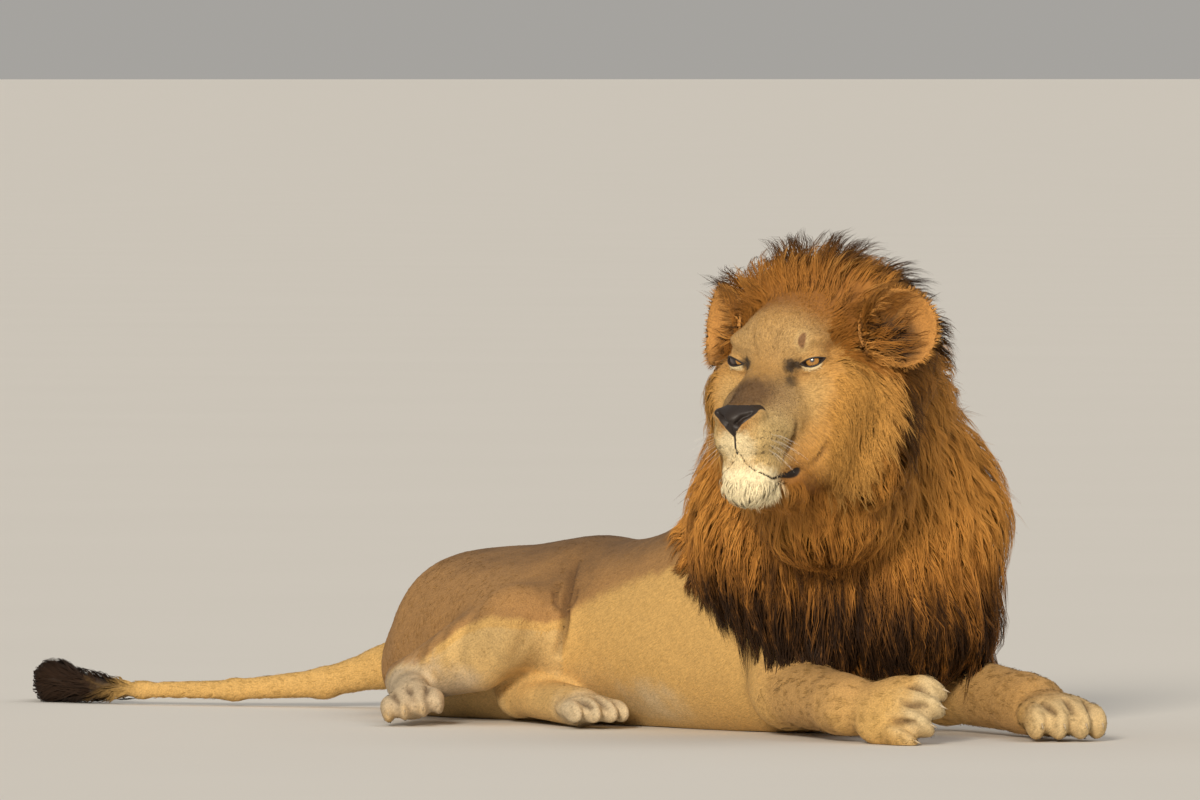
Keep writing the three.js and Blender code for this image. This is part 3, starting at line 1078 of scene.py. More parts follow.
def surface_net(distance: Callable[[Array], Array], low: Array, high: Array,
                step: float) -> tuple[Array, Array]:
    """A closed mesh where a distance is 0, with one point in each cell that it crosses.

    Args:
        distance: less than 0 inside.
        low: the grid's lowest corner.
        high: the grid's highest corner.
        step: the grid's step.

    Returns:
        Points and triangles.
    """
    counts = np.ceil((high - low) / step).astype(int) + 1
    axes = [low[i] + step * np.arange(counts[i]) for i in range(3)]
    grid = np.stack(np.meshgrid(*axes, indexing="ij"), -1).reshape(-1, 3)
    values = distance(grid).reshape(counts)
    inside = values < 0.0
    cell_counts = counts - 1
    held = sum(inside[tuple(slice(o, o + n) for o, n in zip(corner, cell_counts))].astype(int)
               for corner in CORNERS)
    cells = np.argwhere((held > 0) & (held < 8))
    at_corner = [values[tuple((cells + corner).T)] for corner in CORNERS]
    total = np.zeros((len(cells), 3))
    crossed = np.zeros(len(cells))
    for a, b in EDGES:
        cut = (at_corner[a] < 0.0) != (at_corner[b] < 0.0)
        t = at_corner[a][cut] / (at_corner[a][cut] - at_corner[b][cut])
        total[cut] += CORNERS[a] + t[:, None] * (CORNERS[b] - CORNERS[a])
        crossed[cut] += 1.0
    points = low + step * (cells + total / crossed[:, None])
    index = np.full(cell_counts, -1)
    index[tuple(cells.T)] = np.arange(len(cells))
    quads = []
    for axis in range(3):
        b, c = (axis + 1) % 3, (axis + 2) % 3
        first = [slice(None)] * 3
        second = [slice(None)] * 3
        first[axis], second[axis] = slice(None, -1), slice(1, None)
        here = inside[tuple(first)]
        at = np.argwhere(here != inside[tuple(second)])
        step_b, step_c = np.eye(3, dtype=int)[b], np.eye(3, dtype=int)[c]
        around = [at, at - step_b, at - step_b - step_c, at - step_c]
        quad = np.stack([index[tuple(place.T)] for place in around], axis=1)
        flip = ~here[tuple(at.T)]
        quad[flip] = quad[flip][:, ::-1]
        quads.append(quad)
    quads = np.concatenate(quads)
    return points, np.concatenate([quads[:, [0, 1, 2]], quads[:, [0, 2, 3]]])


def refine(points: Array, faces: Array, wanted: Callable[[Array], Array],
           settle: Callable[[Array], Array], rounds: int = 9,
           slack: float = 1.35) -> tuple[Array, Array]:
    """Halves each edge that is too long for its place, until none is.

    Args:
        points: the mesh's points.
        faces: its triangles.
        wanted: the edge length wanted at some places.
        settle: brings new points onto the surface.
        rounds: the most times to go over the mesh.
        slack: how many times the wanted length an edge may have.

    Returns:
        Points and triangles.
    """
    for _ in range(rounds):
        count = len(points)
        ends = np.sort(faces[:, [[0, 1], [1, 2], [2, 0]]].reshape(-1, 2), axis=1)
        keys, inverse = np.unique(ends[:, 0] * count + ends[:, 1], return_inverse=True)
        a, b = keys // count, keys % count
        halfway = (points[a] + points[b]) / 2
        long = np.linalg.norm(points[a] - points[b], axis=1) > slack * wanted(halfway)
        if not long.any():
            break
        number = np.full(len(keys), -1)
        number[long] = count + np.arange(long.sum())
        points = np.concatenate([points, settle(halfway[long])])
        mids = number[inverse].reshape(-1, 3)
        cut = (mids >= 0).sum(1)
        made = [faces[cut == 0]]
        for parts in (1, 2):
            some, mid = faces[cut == parts], mids[cut == parts]
            odd = np.argmax(mid >= 0, axis=1) if parts == 1 else (np.argmin(mid, axis=1) + 1) % 3
            turn = (odd[:, None] + np.arange(3)) % 3
            some = np.take_along_axis(some, turn, axis=1)
            mid = np.take_along_axis(mid, turn, axis=1)
            (p, q, r), (m, n, _) = some.T, mid.T
            if parts == 1:
                made += [np.stack([p, m, r], 1), np.stack([m, q, r], 1)]
            else:
                made += [np.stack([m, q, n], 1), np.stack([p, m, n], 1), np.stack([p, n, r], 1)]
        (p, q, r), (m, n, o) = faces[cut == 3].T, mids[cut == 3].T
        made += [np.stack(t, 1) for t in ((p, m, o), (m, q, n), (o, n, r), (m, n, o))]
        faces = np.concatenate(made)
    return points, faces


def neighbour_mean(faces: Array, count: int) -> Callable[[Array], Array]:
    """What averages a number over the neighbours of each of a mesh's points.

    Args:
        faces: the mesh's triangles.
        count: how many points it has.

    Returns:
        A function from the points' numbers to their neighbours' means.
    """
    ends = np.concatenate([faces[:, [0, 1]], faces[:, [1, 2]], faces[:, [2, 0]]])
    both = np.concatenate([ends, ends[:, ::-1]])
    near = np.maximum(np.bincount(both[:, 0], minlength=count), 1)
    return lambda values: np.bincount(both[:, 0], values[both[:, 1]], count) / near


def evened(points: Array, faces: Array, settle: Callable[[Array], Array],
           rounds: int = 3) -> Array:
    """Points drawn towards the middle of their neighbours, and kept on the surface.

    Args:
        points: the mesh's points.
        faces: its triangles.
        settle: what brings points onto the surface.
        rounds: how often it is done.

    Returns:
        The points in their new places.
    """
    mean = neighbour_mean(faces, len(points))
    for _ in range(rounds):
        drawn = np.stack([mean(points[:, k]) for k in range(3)], 1)
        points = settle(points * 0.45 + drawn * 0.55)
    return points


def normals_of(points: Array, faces: Array) -> Array:
    """The way out of a mesh at each point.

    Args:
        points: the mesh's points.
        faces: its triangles.

    Returns:
        One direction for each point.
    """
    corners = points[faces]
    face = np.cross(corners[:, 1] - corners[:, 0], corners[:, 2] - corners[:, 0])
    total = np.zeros_like(points)
    for k in range(3):
        for axis in range(3):
            total[:, axis] += np.bincount(faces[:, k], face[:, axis], len(points))
    return unit(total)


def unwrapped(points: Array, faces: Array, areas: Array, margin: float = 6.0) -> Array:
    """A flat map of a mesh: each area seen from six sides, the pieces laid out in rows.

    Args:
        points: the mesh's points.
        faces: its triangles.
        areas: the number of each triangle's part of the body.
        margin: room between pieces, in millimetres.

    Returns:
        A place from 0 to 1 for each corner of each triangle.
    """
    corners = points[faces]
    face = np.cross(corners[:, 1] - corners[:, 0], corners[:, 2] - corners[:, 0])
    axis = np.argmax(np.abs(face), axis=1)
    sign = np.take_along_axis(face, axis[:, None], 1)[:, 0] > 0.0
    chart = areas * 6 + axis * 2 + sign
    others = np.array([[1, 2], [0, 2], [0, 1]])[axis]
    flat = np.take_along_axis(corners, others[:, None, :].repeat(3, 1), axis=2)
    names, number = np.unique(chart, return_inverse=True)
    low = np.full((len(names), 2), np.inf)
    high = np.full((len(names), 2), -np.inf)
    np.minimum.at(low, number, flat.min(1))
    np.maximum.at(high, number, flat.max(1))
    sizes = high - low + margin
    order = np.argsort(-sizes[:, 1])

    def laid_out(side: float) -> tuple[Array, float]:
        """Each piece's place in rows of one width, and the height that they take.

        Args:
            side: the rows' width.

        Returns:
            The places, and the height.
        """
        place = np.zeros((len(names), 2))
        x = y = row = 0.0
        for i in order:
            if x + sizes[i, 0] > side:
                x, y, row = 0.0, y + row, 0.0
            place[i] = (x, y)
            x += sizes[i, 0]
            row = max(row, sizes[i, 1])
        return place, y + row

    side = max(sizes[:, 0].max(), math.sqrt(sizes.prod(1).sum()))
    place, height = laid_out(side)
    while height > side:
        side *= 1.02
        place, height = laid_out(side)
    return (flat - (low - place)[number][:, None, :]) / side


def new_object(name: str, data: bpy.types.ID) -> bpy.types.Object:
    """An object that is linked to the scene.

    Args:
        name: its name.
        data: its mesh, light or camera.

    Returns:
        The object.
    """
    made = bpy.data.objects.new(name, data)
    bpy.context.scene.collection.objects.link(made)
    return made


def mesh_object(name: str, points: Array, faces: Array, material: Material,
                values: dict[str, Array] | None = None, corner_map: Array | None = None,
                shading: Array | None = None) -> bpy.types.Object:
    """A mesh object that rides on the lion's body.

    Args:
        name: the piece's name.
        points: places in the body's millimetres.
        faces: triangles.
        material: the finish.
        values: numbers for each point, by name.
        corner_map: a place on the bake map for each corner of each triangle.
        shading: the way that each point faces the light, where it isn't its own.

    Returns:
        The object.
    """
    mesh = bpy.data.meshes.new(name)
    mesh.vertices.add(len(points))
    mesh.vertices.foreach_set("co", to_frame(points).astype(np.float32).ravel())
    mesh.loops.add(faces.size)
    mesh.loops.foreach_set("vertex_index", faces.astype(np.int32).ravel())
    mesh.polygons.add(len(faces))
    mesh.polygons.foreach_set("loop_start", np.arange(0, faces.size, 3, dtype=np.int32))
    mesh.update(calc_edges=True)
    mesh.polygons.foreach_set("use_smooth", np.ones(len(faces), dtype=bool))
    for key, numbers in (values or {}).items():
        layer = mesh.attributes.new(key, "FLOAT", "POINT")
        layer.data.foreach_set("value", numbers.astype(np.float32))
    if corner_map is not None:
        layer = mesh.uv_layers.new(name="OFBake")
        layer.data.foreach_set("uv", corner_map.astype(np.float32).ravel())
    mesh.materials.append(material)
    mesh.update()
    if shading is not None:
        mesh.normals_split_custom_set_from_vertices(shading.astype(np.float32))
    made = new_object(name, mesh)
    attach(made, "root")
    log.info("%s: %d triangles", name, len(faces))
    return made


# ---- shader node groups ------------------------------------------------------------------------

class Nodes:
    """A node tree, with its nodes made by one call each."""

    def __init__(self, tree: Tree) -> None:
        """Takes the tree that nodes are added to."""
        self.tree = tree

    def put(self, socket: Socket, value: object) -> None:
        """Links a socket, or sets its value.

        Args:
            socket: the input to feed.
            value: a socket, a value, or None to leave it.
        """
        if isinstance(value, Socket):
            self.tree.links.new(value, socket)
        elif value is not None:
            socket.default_value = value

    def feed(self, node: Node, inputs: dict[str | int, object]) -> None:
        """Links or sets some of a node's inputs."""
        for key, value in inputs.items():
            self.put(node.inputs[key], value)

    def add(self, kind: str, inputs: dict[str | int, object], **settings: object) -> Node:
        """A new node with some settings, and with some of its inputs linked or set.

        Args:
            kind: Blender's name for the node.
            inputs: sockets or values by input.
            settings: the node's own properties.

        Returns:
            The node.
        """
        node = self.tree.nodes.new(kind)
        for key, value in settings.items():
            setattr(node, key, value)
        self.feed(node, inputs)
        return node

    def math(self, operation: str, a: object, b: object = None) -> Socket:
        """A sum on one or two numbers."""
        return self.add("ShaderNodeMath", {0: a, 1: b}, operation=operation).outputs[0]

    def plus(self, first: object, *others: object) -> Socket:
        """Numbers added, one after the other.

        Args:
            first: a socket or a number.
            others: what is added to it.

        Returns:
            The sum's socket.
        """
        for other in others:
            first = self.math("ADD", first, other)
        return first

    def times(self, first: object, *others: object) -> Socket:
        """Numbers multiplied, one after the other.

        Args:
            first: a socket or a number.
            others: what it is multiplied by.

        Returns:
            The product's socket.
        """
        for other in others:
            first = self.math("MULTIPLY", first, other)
        return first

    def vector(self, operation: str, a: object, b: object = None) -> Socket:
        """A sum on one or two vectors, which is a number for a length or a dot product."""
        node = self.add("ShaderNodeVectorMath", {0: a, 1: b}, operation=operation)
        return node.outputs["Value" if operation in ("LENGTH", "DOT_PRODUCT") else "Vector"]

    def scaled(self, vector: object, amount: object) -> Socket:
        """A vector made longer or shorter."""
        return self.add("ShaderNodeVectorMath", {0: vector, "Scale": amount},
                        operation="SCALE").outputs[0]

    def split(self, vector: object) -> Sockets:
        """A vector's parts, named X, Y and Z."""
        return self.add("ShaderNodeSeparateXYZ", {0: vector}).outputs

    def ramp(self, value: object, low: object, high: object, start: float = 0.0,
             end: float = 1.0) -> Socket:
        """A smooth change from start to end as a value goes from low to high."""
        return self.add("ShaderNodeMapRange", dict(enumerate((value, low, high, start, end))),
                        interpolation_type="SMOOTHSTEP").outputs[0]

    def mix(self, factor: object, a: object, b: object, blend: str = "MIX") -> Socket:
        """Two colours mixed by a factor.

        Args:
            factor: how much of b there is, from 0 to 1.
            a: the first colour.
            b: the second colour.
            blend: Blender's name for the way to mix.

        Returns:
            The mixed colour's socket.
        """
        a, b = ((*value, 1.0) if isinstance(value, tuple) else value for value in (a, b))
        return self.add("ShaderNodeMix", {0: factor, 6: a, 7: b}, data_type="RGBA",
                        blend_type=blend).outputs[2]

    def noise(self, place: object, scale: float, detail: float = 3.0,
              rough: float = 0.55) -> Socket:
        """Cloudy noise from about 0 to 1."""
        return self.add("ShaderNodeTexNoise", {"Vector": place, "Scale": scale, "Detail": detail,
                                               "Roughness": rough}).outputs[0]

    def stir(self, place: object, scale: float) -> Socket:
        """Cloudy vectors about 0, to move places by."""
        cloud = self.add("ShaderNodeTexNoise", {"Vector": place, "Scale": scale})
        return self.vector("SUBTRACT", cloud.outputs["Color"], (0.5, 0.5, 0.5))

    def group(self, tree: Tree, **values: object) -> Node:
        """A placed node group, with values for its named inputs."""
        return self.add("ShaderNodeGroup", values, node_tree=tree)

    def place(self) -> Socket:
        """Places in the frame's metres."""
        return self.add("ShaderNodeTexCoord", {}).outputs["Object"]

    def value(self, name: str) -> Socket:
        """A number that the mesh holds for each point."""
        return self.add("ShaderNodeAttribute", {}, attribute_name=name).outputs["Fac"]


def new_group(name: str, inputs: dict[str, str],
              outputs: dict[str, str]) -> tuple[Tree, Nodes, dict[str, Socket], Node]:
    """An empty node group with named sockets.

    Args:
        name: the group's name.
        inputs: socket types by name.
        outputs: socket types by name.

    Returns:
        The tree, its nodes, its inputs by name, and its output node.
    """
    tree = bpy.data.node_groups.new(name, "ShaderNodeTree")
    for key, kind in inputs.items():
        tree.interface.new_socket(key, in_out="INPUT", socket_type=kind)
    for key, kind in outputs.items():
        tree.interface.new_socket(key, in_out="OUTPUT", socket_type=kind)
    nodes = Nodes(tree)
    source, target = nodes.add("NodeGroupInput", {}), nodes.add("NodeGroupOutput", {})
    return tree, nodes, {key: source.outputs[key] for key in inputs}, target


VECTOR, FLOAT, COLOUR = "NodeSocketVector", "NodeSocketFloat", "NodeSocketColor"


@dataclass(frozen=True)
class Marking:
    """An oval patch of colour that fades at its edge."""

    centre: Vec
    radii: Vec
    colour: Vec
    strength: float = 1.0
    fade: float = 0.35
    space: Space = Space.HEAD
    both: bool = False
    crisp: bool = False

    def sides(self) -> list["Marking"]:
        """The patch, or the patch and its twin on the other side.

        Returns:
            One marking or two.
        """
        if not self.both:
            return [self]
        x, y, z = self.centre
        return [Marking((x, side * y, z), self.radii, self.colour, self.strength, self.fade,
                        self.space) for side in (-1.0, 1.0)]


@dataclass(frozen=True)
class Palette:
    """The lion's colours."""

    flank: Vec = (0.6, 0.365, 0.115)
    back: Vec = (0.09, 0.043, 0.015)
    haunch: Vec = (0.36, 0.19, 0.062)
    tan: Vec = (0.47, 0.265, 0.09)
    pale: Vec = (0.6, 0.4, 0.16)
    face: Vec = (0.46, 0.255, 0.078)
    cheek: Vec = (0.54, 0.27, 0.062)
    rust: Vec = (0.33, 0.135, 0.023)
    ash: Vec = (0.24, 0.16, 0.085)
    cream: Vec = (0.85, 0.69, 0.4)
    soot: Vec = (0.035, 0.022, 0.013)
    bridge: Vec = (0.15, 0.08, 0.032)
    leather: Vec = (0.0182, 0.0105, 0.007)
    gold: Vec = (0.62, 0.28, 0.058)
    tawny: Vec = (0.43, 0.18, 0.035)
    brown: Vec = (0.22, 0.09, 0.018)
    umber: Vec = (0.075, 0.032, 0.009)
    fox: Vec = (0.3, 0.118, 0.019)
    black: Vec = (0.022, 0.01, 0.004)


class Groups:
    """The node groups that the finishes share, each built once."""

    def __init__(self, palette: Palette) -> None:
        """Builds the groups in one set of colours.

        Args:
            palette: the coat's colours.
        """
        self.palette = palette
        self.axes = self.new_axes()
        self.patch = self.new_patch()
        self.short = self.new_coat()
        self.long = self.new_mane()
        self.grain = self.new_grain()

    @staticmethod
    def new_axes() -> Tree:
        """Places in millimetres, on the body and on the head.

        Returns:
            The group.
        """
        tree, n, inputs, out = new_group("lion places", {"Place": VECTOR},
                                         {"Body": VECTOR, "Head": VECTOR})
        body = n.scaled(n.vector("SUBTRACT", inputs["Place"], tuple(SHIFT)), 1.0 / MM)
        turn = n.add("ShaderNodeVectorRotate",
                     {"Vector": n.vector("SUBTRACT", body, tuple(EYE_LINE)), "Angle": -HEAD_TURN},
                     rotation_type="Z_AXIS")
        n.feed(out, {"Body": body, "Head": turn.outputs[0]})
        return tree

    @staticmethod
    def new_patch() -> Tree:
        """A mask that is 1 inside an oval and fades at its edge.

        Returns:
            The group.
        """
        tree, n, inputs, out = new_group(
            "oval patch", {"Place": VECTOR, "Centre": VECTOR, "Radii": VECTOR, "Fade": FLOAT},
            {"Mask": FLOAT})
        away = n.vector("SUBTRACT", inputs["Place"], inputs["Centre"])
        size = n.vector("LENGTH", n.vector("DIVIDE", away, inputs["Radii"]))
        low = n.math("SUBTRACT", 1.0, inputs["Fade"])
        n.feed(out, {"Mask": n.ramp(size, low, n.plus(1.0, inputs["Fade"]), 1.0, 0.0)})
        return tree

    def oval(self, n: Nodes, place: object, centre: Vec, radii: Vec, fade: float) -> Socket:
        """The oval mask, placed in a tree."""
        return n.group(self.patch, Place=place, Centre=centre, Radii=radii, Fade=fade).outputs[0]

    def markings(self) -> list[Marking]:
        """The patches of colour, each over those before it.

        Returns:
            The patches, the lowest first.
        """
        p, body = self.palette, Space.BODY
        return [
            Marking((-300, -20, 400), (760, 300, 160), p.back, 0.8, 0.3, body),
            Marking((-90, -130, 235), (60, 60, 50), p.back, 0.5, 0.6, body),
            Marking((-230, -250, 34), (130, 70, 28), (0.4, 0.21, 0.065), 0.6, 0.5, body),
            Marking((600, -140, 80), (170, 130, 90), p.tan, 0.8, 0.4, body),
            Marking((690, 110, 80), (170, 120, 90), p.tan, 0.8, 0.4, body),
            Marking((-20, -130, 20), (230, 140, 60), p.pale, 0.6, 0.5, body),
            Marking((-250, -310, 40), (150, 110, 56), (0.5, 0.4, 0.27), 0.85, 0.35, body),
            Marking((110, -200, 20), (110, 90, 50), (0.6, 0.5, 0.34), 0.75, 0.5, body),
            Marking((866, -176, 60), (64, 80, 70), (0.6, 0.48, 0.28), 0.75, 0.5, body),
            Marking((886, 48, 40), (70, 80, 60), (0.6, 0.48, 0.28), 0.6, 0.5, body),
            Marking((-1290, -175, 30), (150, 90, 60), p.black, 1.0, 0.3, body),
            Marking((-20, 0, -20), (210, 200, 220), p.rust, 1.0, 0.3),
            Marking((-20, 110, -90), (100, 70, 140), p.cheek, 0.85, 0.5, both=True),
            Marking((34, 0, -36), (112, 92, 122), p.face, 1.0, 0.25),
            Marking((-30, 88, -60), (70, 50, 90), p.cheek, 0.7, 0.6, both=True),
            Marking((36, 62, -46), (46, 30, 36), (0.55, 0.35, 0.13), 0.7, 0.6, both=True),
            Marking((20, 40, 30), (50, 40, 34), (0.52, 0.34, 0.14), 0.5, 0.7, both=True),
            Marking((97, 44, -116), (50, 36, 54), (0.66, 0.46, 0.19), 0.95, 0.4, both=True),
            Marking((104, 0, -190), (60, 66, 44), (0.98, 0.83, 0.52), 1.0, 0.2),
            Marking((132, 0, -124), (24, 30, 30), p.cream, 0.95, 0.35),
            Marking((68, 40, -52), (34, 22, 42), p.ash, 0.5, 0.7, both=True),
            Marking((97, 0, -48), (54, 35, 30), p.bridge, 0.95, 0.4),
            Marking((27, 38, -6), (16, 15, 10), p.soot, 0.95, 0.5, both=True),
            Marking((36, 41, -22), (14, 8, 18), p.soot, 0.8, 0.7, both=True),
            Marking((29, 52, 31), (22, 10, 19), (0.6, 0.4, 0.17), 0.7, 0.35, crisp=True),
            Marking((29, 52, 31), (22, 5.2, 12), (0.2, 0.09, 0.035), 0.9, 0.3, crisp=True),
            Marking((-93, 150, 48), (64, 64, 70), (0.52, 0.24, 0.055), 0.95, 0.1, both=True),
            # Painted shade deep in each ear's cup.
            Marking((-114, 120, 24), (46, 42, 42), (0.04, 0.018, 0.006), 1.0, 0.45, both=True)]

    def new_coat(self) -> Tree:
        """The short coat's colour at a place, for a strand.

        Returns:
            The group.
        """
        tree, n, inputs, out = new_group(
            "short coat", {"Place": VECTOR, "Strand": FLOAT, "Pale": FLOAT, "Side": FLOAT},
            {"Colour": COLOUR, "Fur": FLOAT})
        place, p = inputs["Place"], self.palette
        places = n.group(self.axes, Place=place).outputs
        stir, crumbs = n.stir(place, 22.0), n.stir(place, 150.0)
        moved = {}
        for space, name, amount, speck in ((Space.BODY, "Body", 60.0, 16.0),
                                           (Space.HEAD, "Head", 8.0, 15.0)):
            both = n.vector("ADD", n.scaled(stir, amount), n.scaled(crumbs, speck))
            moved[space] = n.vector("ADD", places[name], both)
        wander = n.times(n.math("SUBTRACT", n.noise(place, 40.0, 4.0, 0.7), 0.5), 0.9)
        side = n.plus(inputs["Side"], n.times(wander, 0.8))
        colour: object = n.mix(n.ramp(side, 0.2, 0.75), p.flank, p.haunch)
        colour = n.mix(n.ramp(side, -0.65, -0.2, 0.95, 0.0), colour, p.pale)
        for marking in [twin for one in self.markings() for twin in one.sides()]:
            at = places["Head"] if marking.crisp else moved[marking.space]
            mask = self.oval(n, at, marking.centre, marking.radii, marking.fade)
            colour = n.mix(n.times(mask, marking.strength), colour, marking.colour)
        colour = self.whisker_rows(n, moved[Space.HEAD], colour)
        # Above 0 this is the pale strip under the eyes; below 0 it is painted shade in folds, toe gaps
        # and creases, mixed towards umber.
        colour = n.mix(n.math("MAXIMUM", inputs["Pale"], 0.0), colour, p.cream)
        dark = n.math("MAXIMUM", n.times(inputs["Pale"], -1.0), 0.0)
        colour = self.grizzled(n, places["Head"], n.mix(dark, colour, p.umber))
        # Painted highlight and shade: light and dark bands across the shank.
        shank_light_band_place = n.vector("MULTIPLY", place, (26.0, 9.0, 9.0))
        rings = n.ramp(n.noise(shank_light_band_place, 1.0, 1.0), 0.38, 0.62, -0.2, 0.1)
        shank = self.oval(n, places["Body"], (-170.0, -240.0, 90.0), (200.0, 90.0, 85.0), 0.2)
        fine = n.ramp(n.noise(place, 380.0, 2.0), 0.42, 0.72, 1.04, 0.82)
        coarse = n.ramp(n.noise(place, 90.0, 3.0, 0.7), 0.35, 0.65, 0.95, 1.04)
        fur = self.combed(n, places)
        value = n.times(fine, coarse, n.ramp(inputs["Strand"], 0.0, 1.0, 0.9, 1.08),
                        n.ramp(fur, 0.34, 0.66, 0.84, 1.13), n.plus(1.0, n.times(rings, shank)))
        shade = n.add("ShaderNodeCombineColor", {0: value, 1: value, 2: value})
        n.feed(out, {"Fur": fur, "Colour": n.mix(1.0, colour, shade.outputs[0], "MULTIPLY")})
        return tree

    def combed(self, n: Nodes, places: Sockets) -> Socket:
        """Streaks as fine as hairs, out from the face on the head and backwards on the body.

        Args:
            n: the nodes to add to.
            places: the outputs of the group of axes.

        Returns:
            A value that changes from streak to streak.
        """
        away = n.vector("SUBTRACT", places["Head"], FromFace().middle)
        spread = n.plus(100.0, n.times(n.vector("LENGTH", away), 0.12))
        on_head = n.noise(n.scaled(n.vector("NORMALIZE", away), spread), 0.55, 2.0)
        lie = tuple(float(value) for value in unit(np.array([-1.0, 0.12, -0.42])))
        run = n.vector("DOT_PRODUCT", places["Body"], lie)
        pressed = n.vector("SUBTRACT", places["Body"], n.scaled(lie, n.times(run, 0.86)))
        on_body = n.plus(0.2, n.times(n.noise(pressed, 0.6, 2.0), 0.6))
        head = self.oval(n, places["Head"], (-10.0, 0.0, -30.0), (170.0, 170.0, 200.0), 0.1)
        return n.plus(on_body, n.times(head, n.math("SUBTRACT", on_head, on_body)))

    def dotted(self, n: Nodes, dots: Socket, area: Socket, amount: float,
               colour: object) -> Socket:
        """Soot over a colour where there are dots, in one area."""
        return n.mix(n.times(dots, area, amount), colour, self.palette.soot)

    def grizzled(self, n: Nodes, head: object, colour: object) -> object:
        """Dark hair tips scattered over the muzzle's sides and the forehead.

        Args:
            n: the tree's nodes.
            head: places on the head.
            colour: the colour under them.

        Returns:
            The colour with the tips in it.
        """
        specks = n.ramp(n.noise(head, 0.6, 1.0), 0.55, 0.66)
        for centre, radii, amount in (((66.0, 44.0, -50.0), (36.0, 26.0, 46.0), 0.5),
                                      ((66.0, -44.0, -50.0), (36.0, 26.0, 46.0), 0.5),
                                      ((104.0, 0.0, -100.0), (60.0, 70.0, 60.0), 0.28),
                                      ((10.0, 0.0, 52.0), (70.0, 70.0, 60.0), 0.3)):
            colour = self.dotted(n, specks, self.oval(n, head, centre, radii, 0.5), amount, colour)
        return colour

    def whisker_rows(self, n: Nodes, head: object, colour: object) -> object:
        """Dark dots in rows where the whiskers grow.

        Args:
            n: the tree's nodes.
            head: places on the head.
            colour: the colour under the dots.

        Returns:
            The colour with the dots in it.
        """
        at = n.split(head)
        across = n.plus(at["X"], n.times(at["Z"], 0.35))
        waves = [n.math("COSINE", n.times(value, math.tau / spacing))
                 for value, spacing in ((across, 9.5), (at["Z"], 11.0))]
        dots = n.ramp(n.plus(*waves), 0.9, 1.7)
        for y in (-46.0, 46.0):
            area = self.oval(n, head, (99.0, y, -120.0), (42.0, 38.0, 27.0), 0.3)
            colour = self.dotted(n, dots, area, 0.6, colour)
        return colour

    def new_mane(self) -> Tree:
        """The mane's colour at a place, for a strand, from its root to its tip.

        Returns:
            The group.
        """
        tree, n, inputs, out = new_group(
            "mane colour", {"Place": VECTOR, "Strand": FLOAT, "Tip": FLOAT}, {"Colour": COLOUR})
        p = self.palette
        places = n.group(self.axes, Place=inputs["Place"]).outputs
        at = n.split(places["Body"])
        streaked = n.vector("MULTIPLY", inputs["Place"], (44.0, 44.0, 6.0))
        streak = n.times(n.math("SUBTRACT", n.noise(streaked, 1.0, 4.0, 0.7), 0.5), 1.7)
        own = n.times(n.math("SUBTRACT", inputs["Strand"], 0.5), 0.4)
        # Darker lower down, and a little darker towards the mane's right side as painted shade.
        level = n.plus(n.ramp(at["Z"], 130.0, 350.0, 0.02, 0.9),
                       n.ramp(at["Y"], -200.0, 60.0, -0.02, 0.2), streak, own)
        ramp = n.add("ShaderNodeValToRGB", {0: level})
        stops = ((0.04, p.black), (0.22, p.umber), (0.42, p.brown), (0.66, p.tawny),
                 (0.95, p.gold))
        while len(ramp.color_ramp.elements) < len(stops):
            ramp.color_ramp.elements.new(0.5)
        for element, (place, colour) in zip(ramp.color_ramp.elements, stops):
            element.position = place
            element.color = (*colour, 1.0)
        around = self.oval(n, places["Head"], (-60.0, 0.0, -20.0), (160.0, 178.0, 205.0), 0.35)
        glow = n.times(around, n.ramp(level, 0.2, 0.9, 0.7, 0.95))
        colour = n.mix(glow, ramp.outputs[0], p.fox)
        nape = self.oval(n, places["Head"], (-215.0, 120.0, 50.0), (90.0, 90.0, 120.0), 0.4)
        colour = n.mix(n.times(nape, 0.7), colour, p.umber)
        # Painted shade: black in the gap between the cheek's locks and the mane.
        gap = self.oval(n, places["Head"], (-118.0, 166.0, -96.0), (44.0, 26.0, 108.0), 0.5)
        colour = n.mix(n.times(gap, 0.92), colour, p.black)
        tips = n.times(n.ramp(inputs["Tip"], 0.3, 0.95), n.ramp(at["Z"], 575.0, 690.0), 0.9)
        n.feed(out, {"Colour": n.mix(tips, colour, p.black)})
        return tree

    @staticmethod
    def new_grain() -> Tree:
        """A fine uneven height over skin and horn.

        Returns:
            The group.
        """
        tree, n, inputs, out = new_group("fine grain", {"Place": VECTOR, "Fine": FLOAT},
                                         {"Height": FLOAT})
        place = n.scaled(inputs["Place"], inputs["Fine"])
        coarse, fine = n.noise(place, 1.0, 2.0), n.noise(place, 3.1, 3.0, 0.65)
        n.feed(out, {"Height": n.plus(n.times(coarse, 0.6), n.times(fine, 0.4))})
        return tree


# ---- finishes ----------------------------------------------------------------------------------

def new_material(name: str) -> tuple[Material, Nodes, Node]:
    """A material with its nodes and its shader.

    Args:
        name: its name.

    Returns:
        The material, its nodes and its shader.
    """
    material = bpy.data.materials.new(name)
    material.use_nodes = True
    nodes = Nodes(material.node_tree)
    return material, nodes, material.node_tree.nodes["Principled BSDF"]


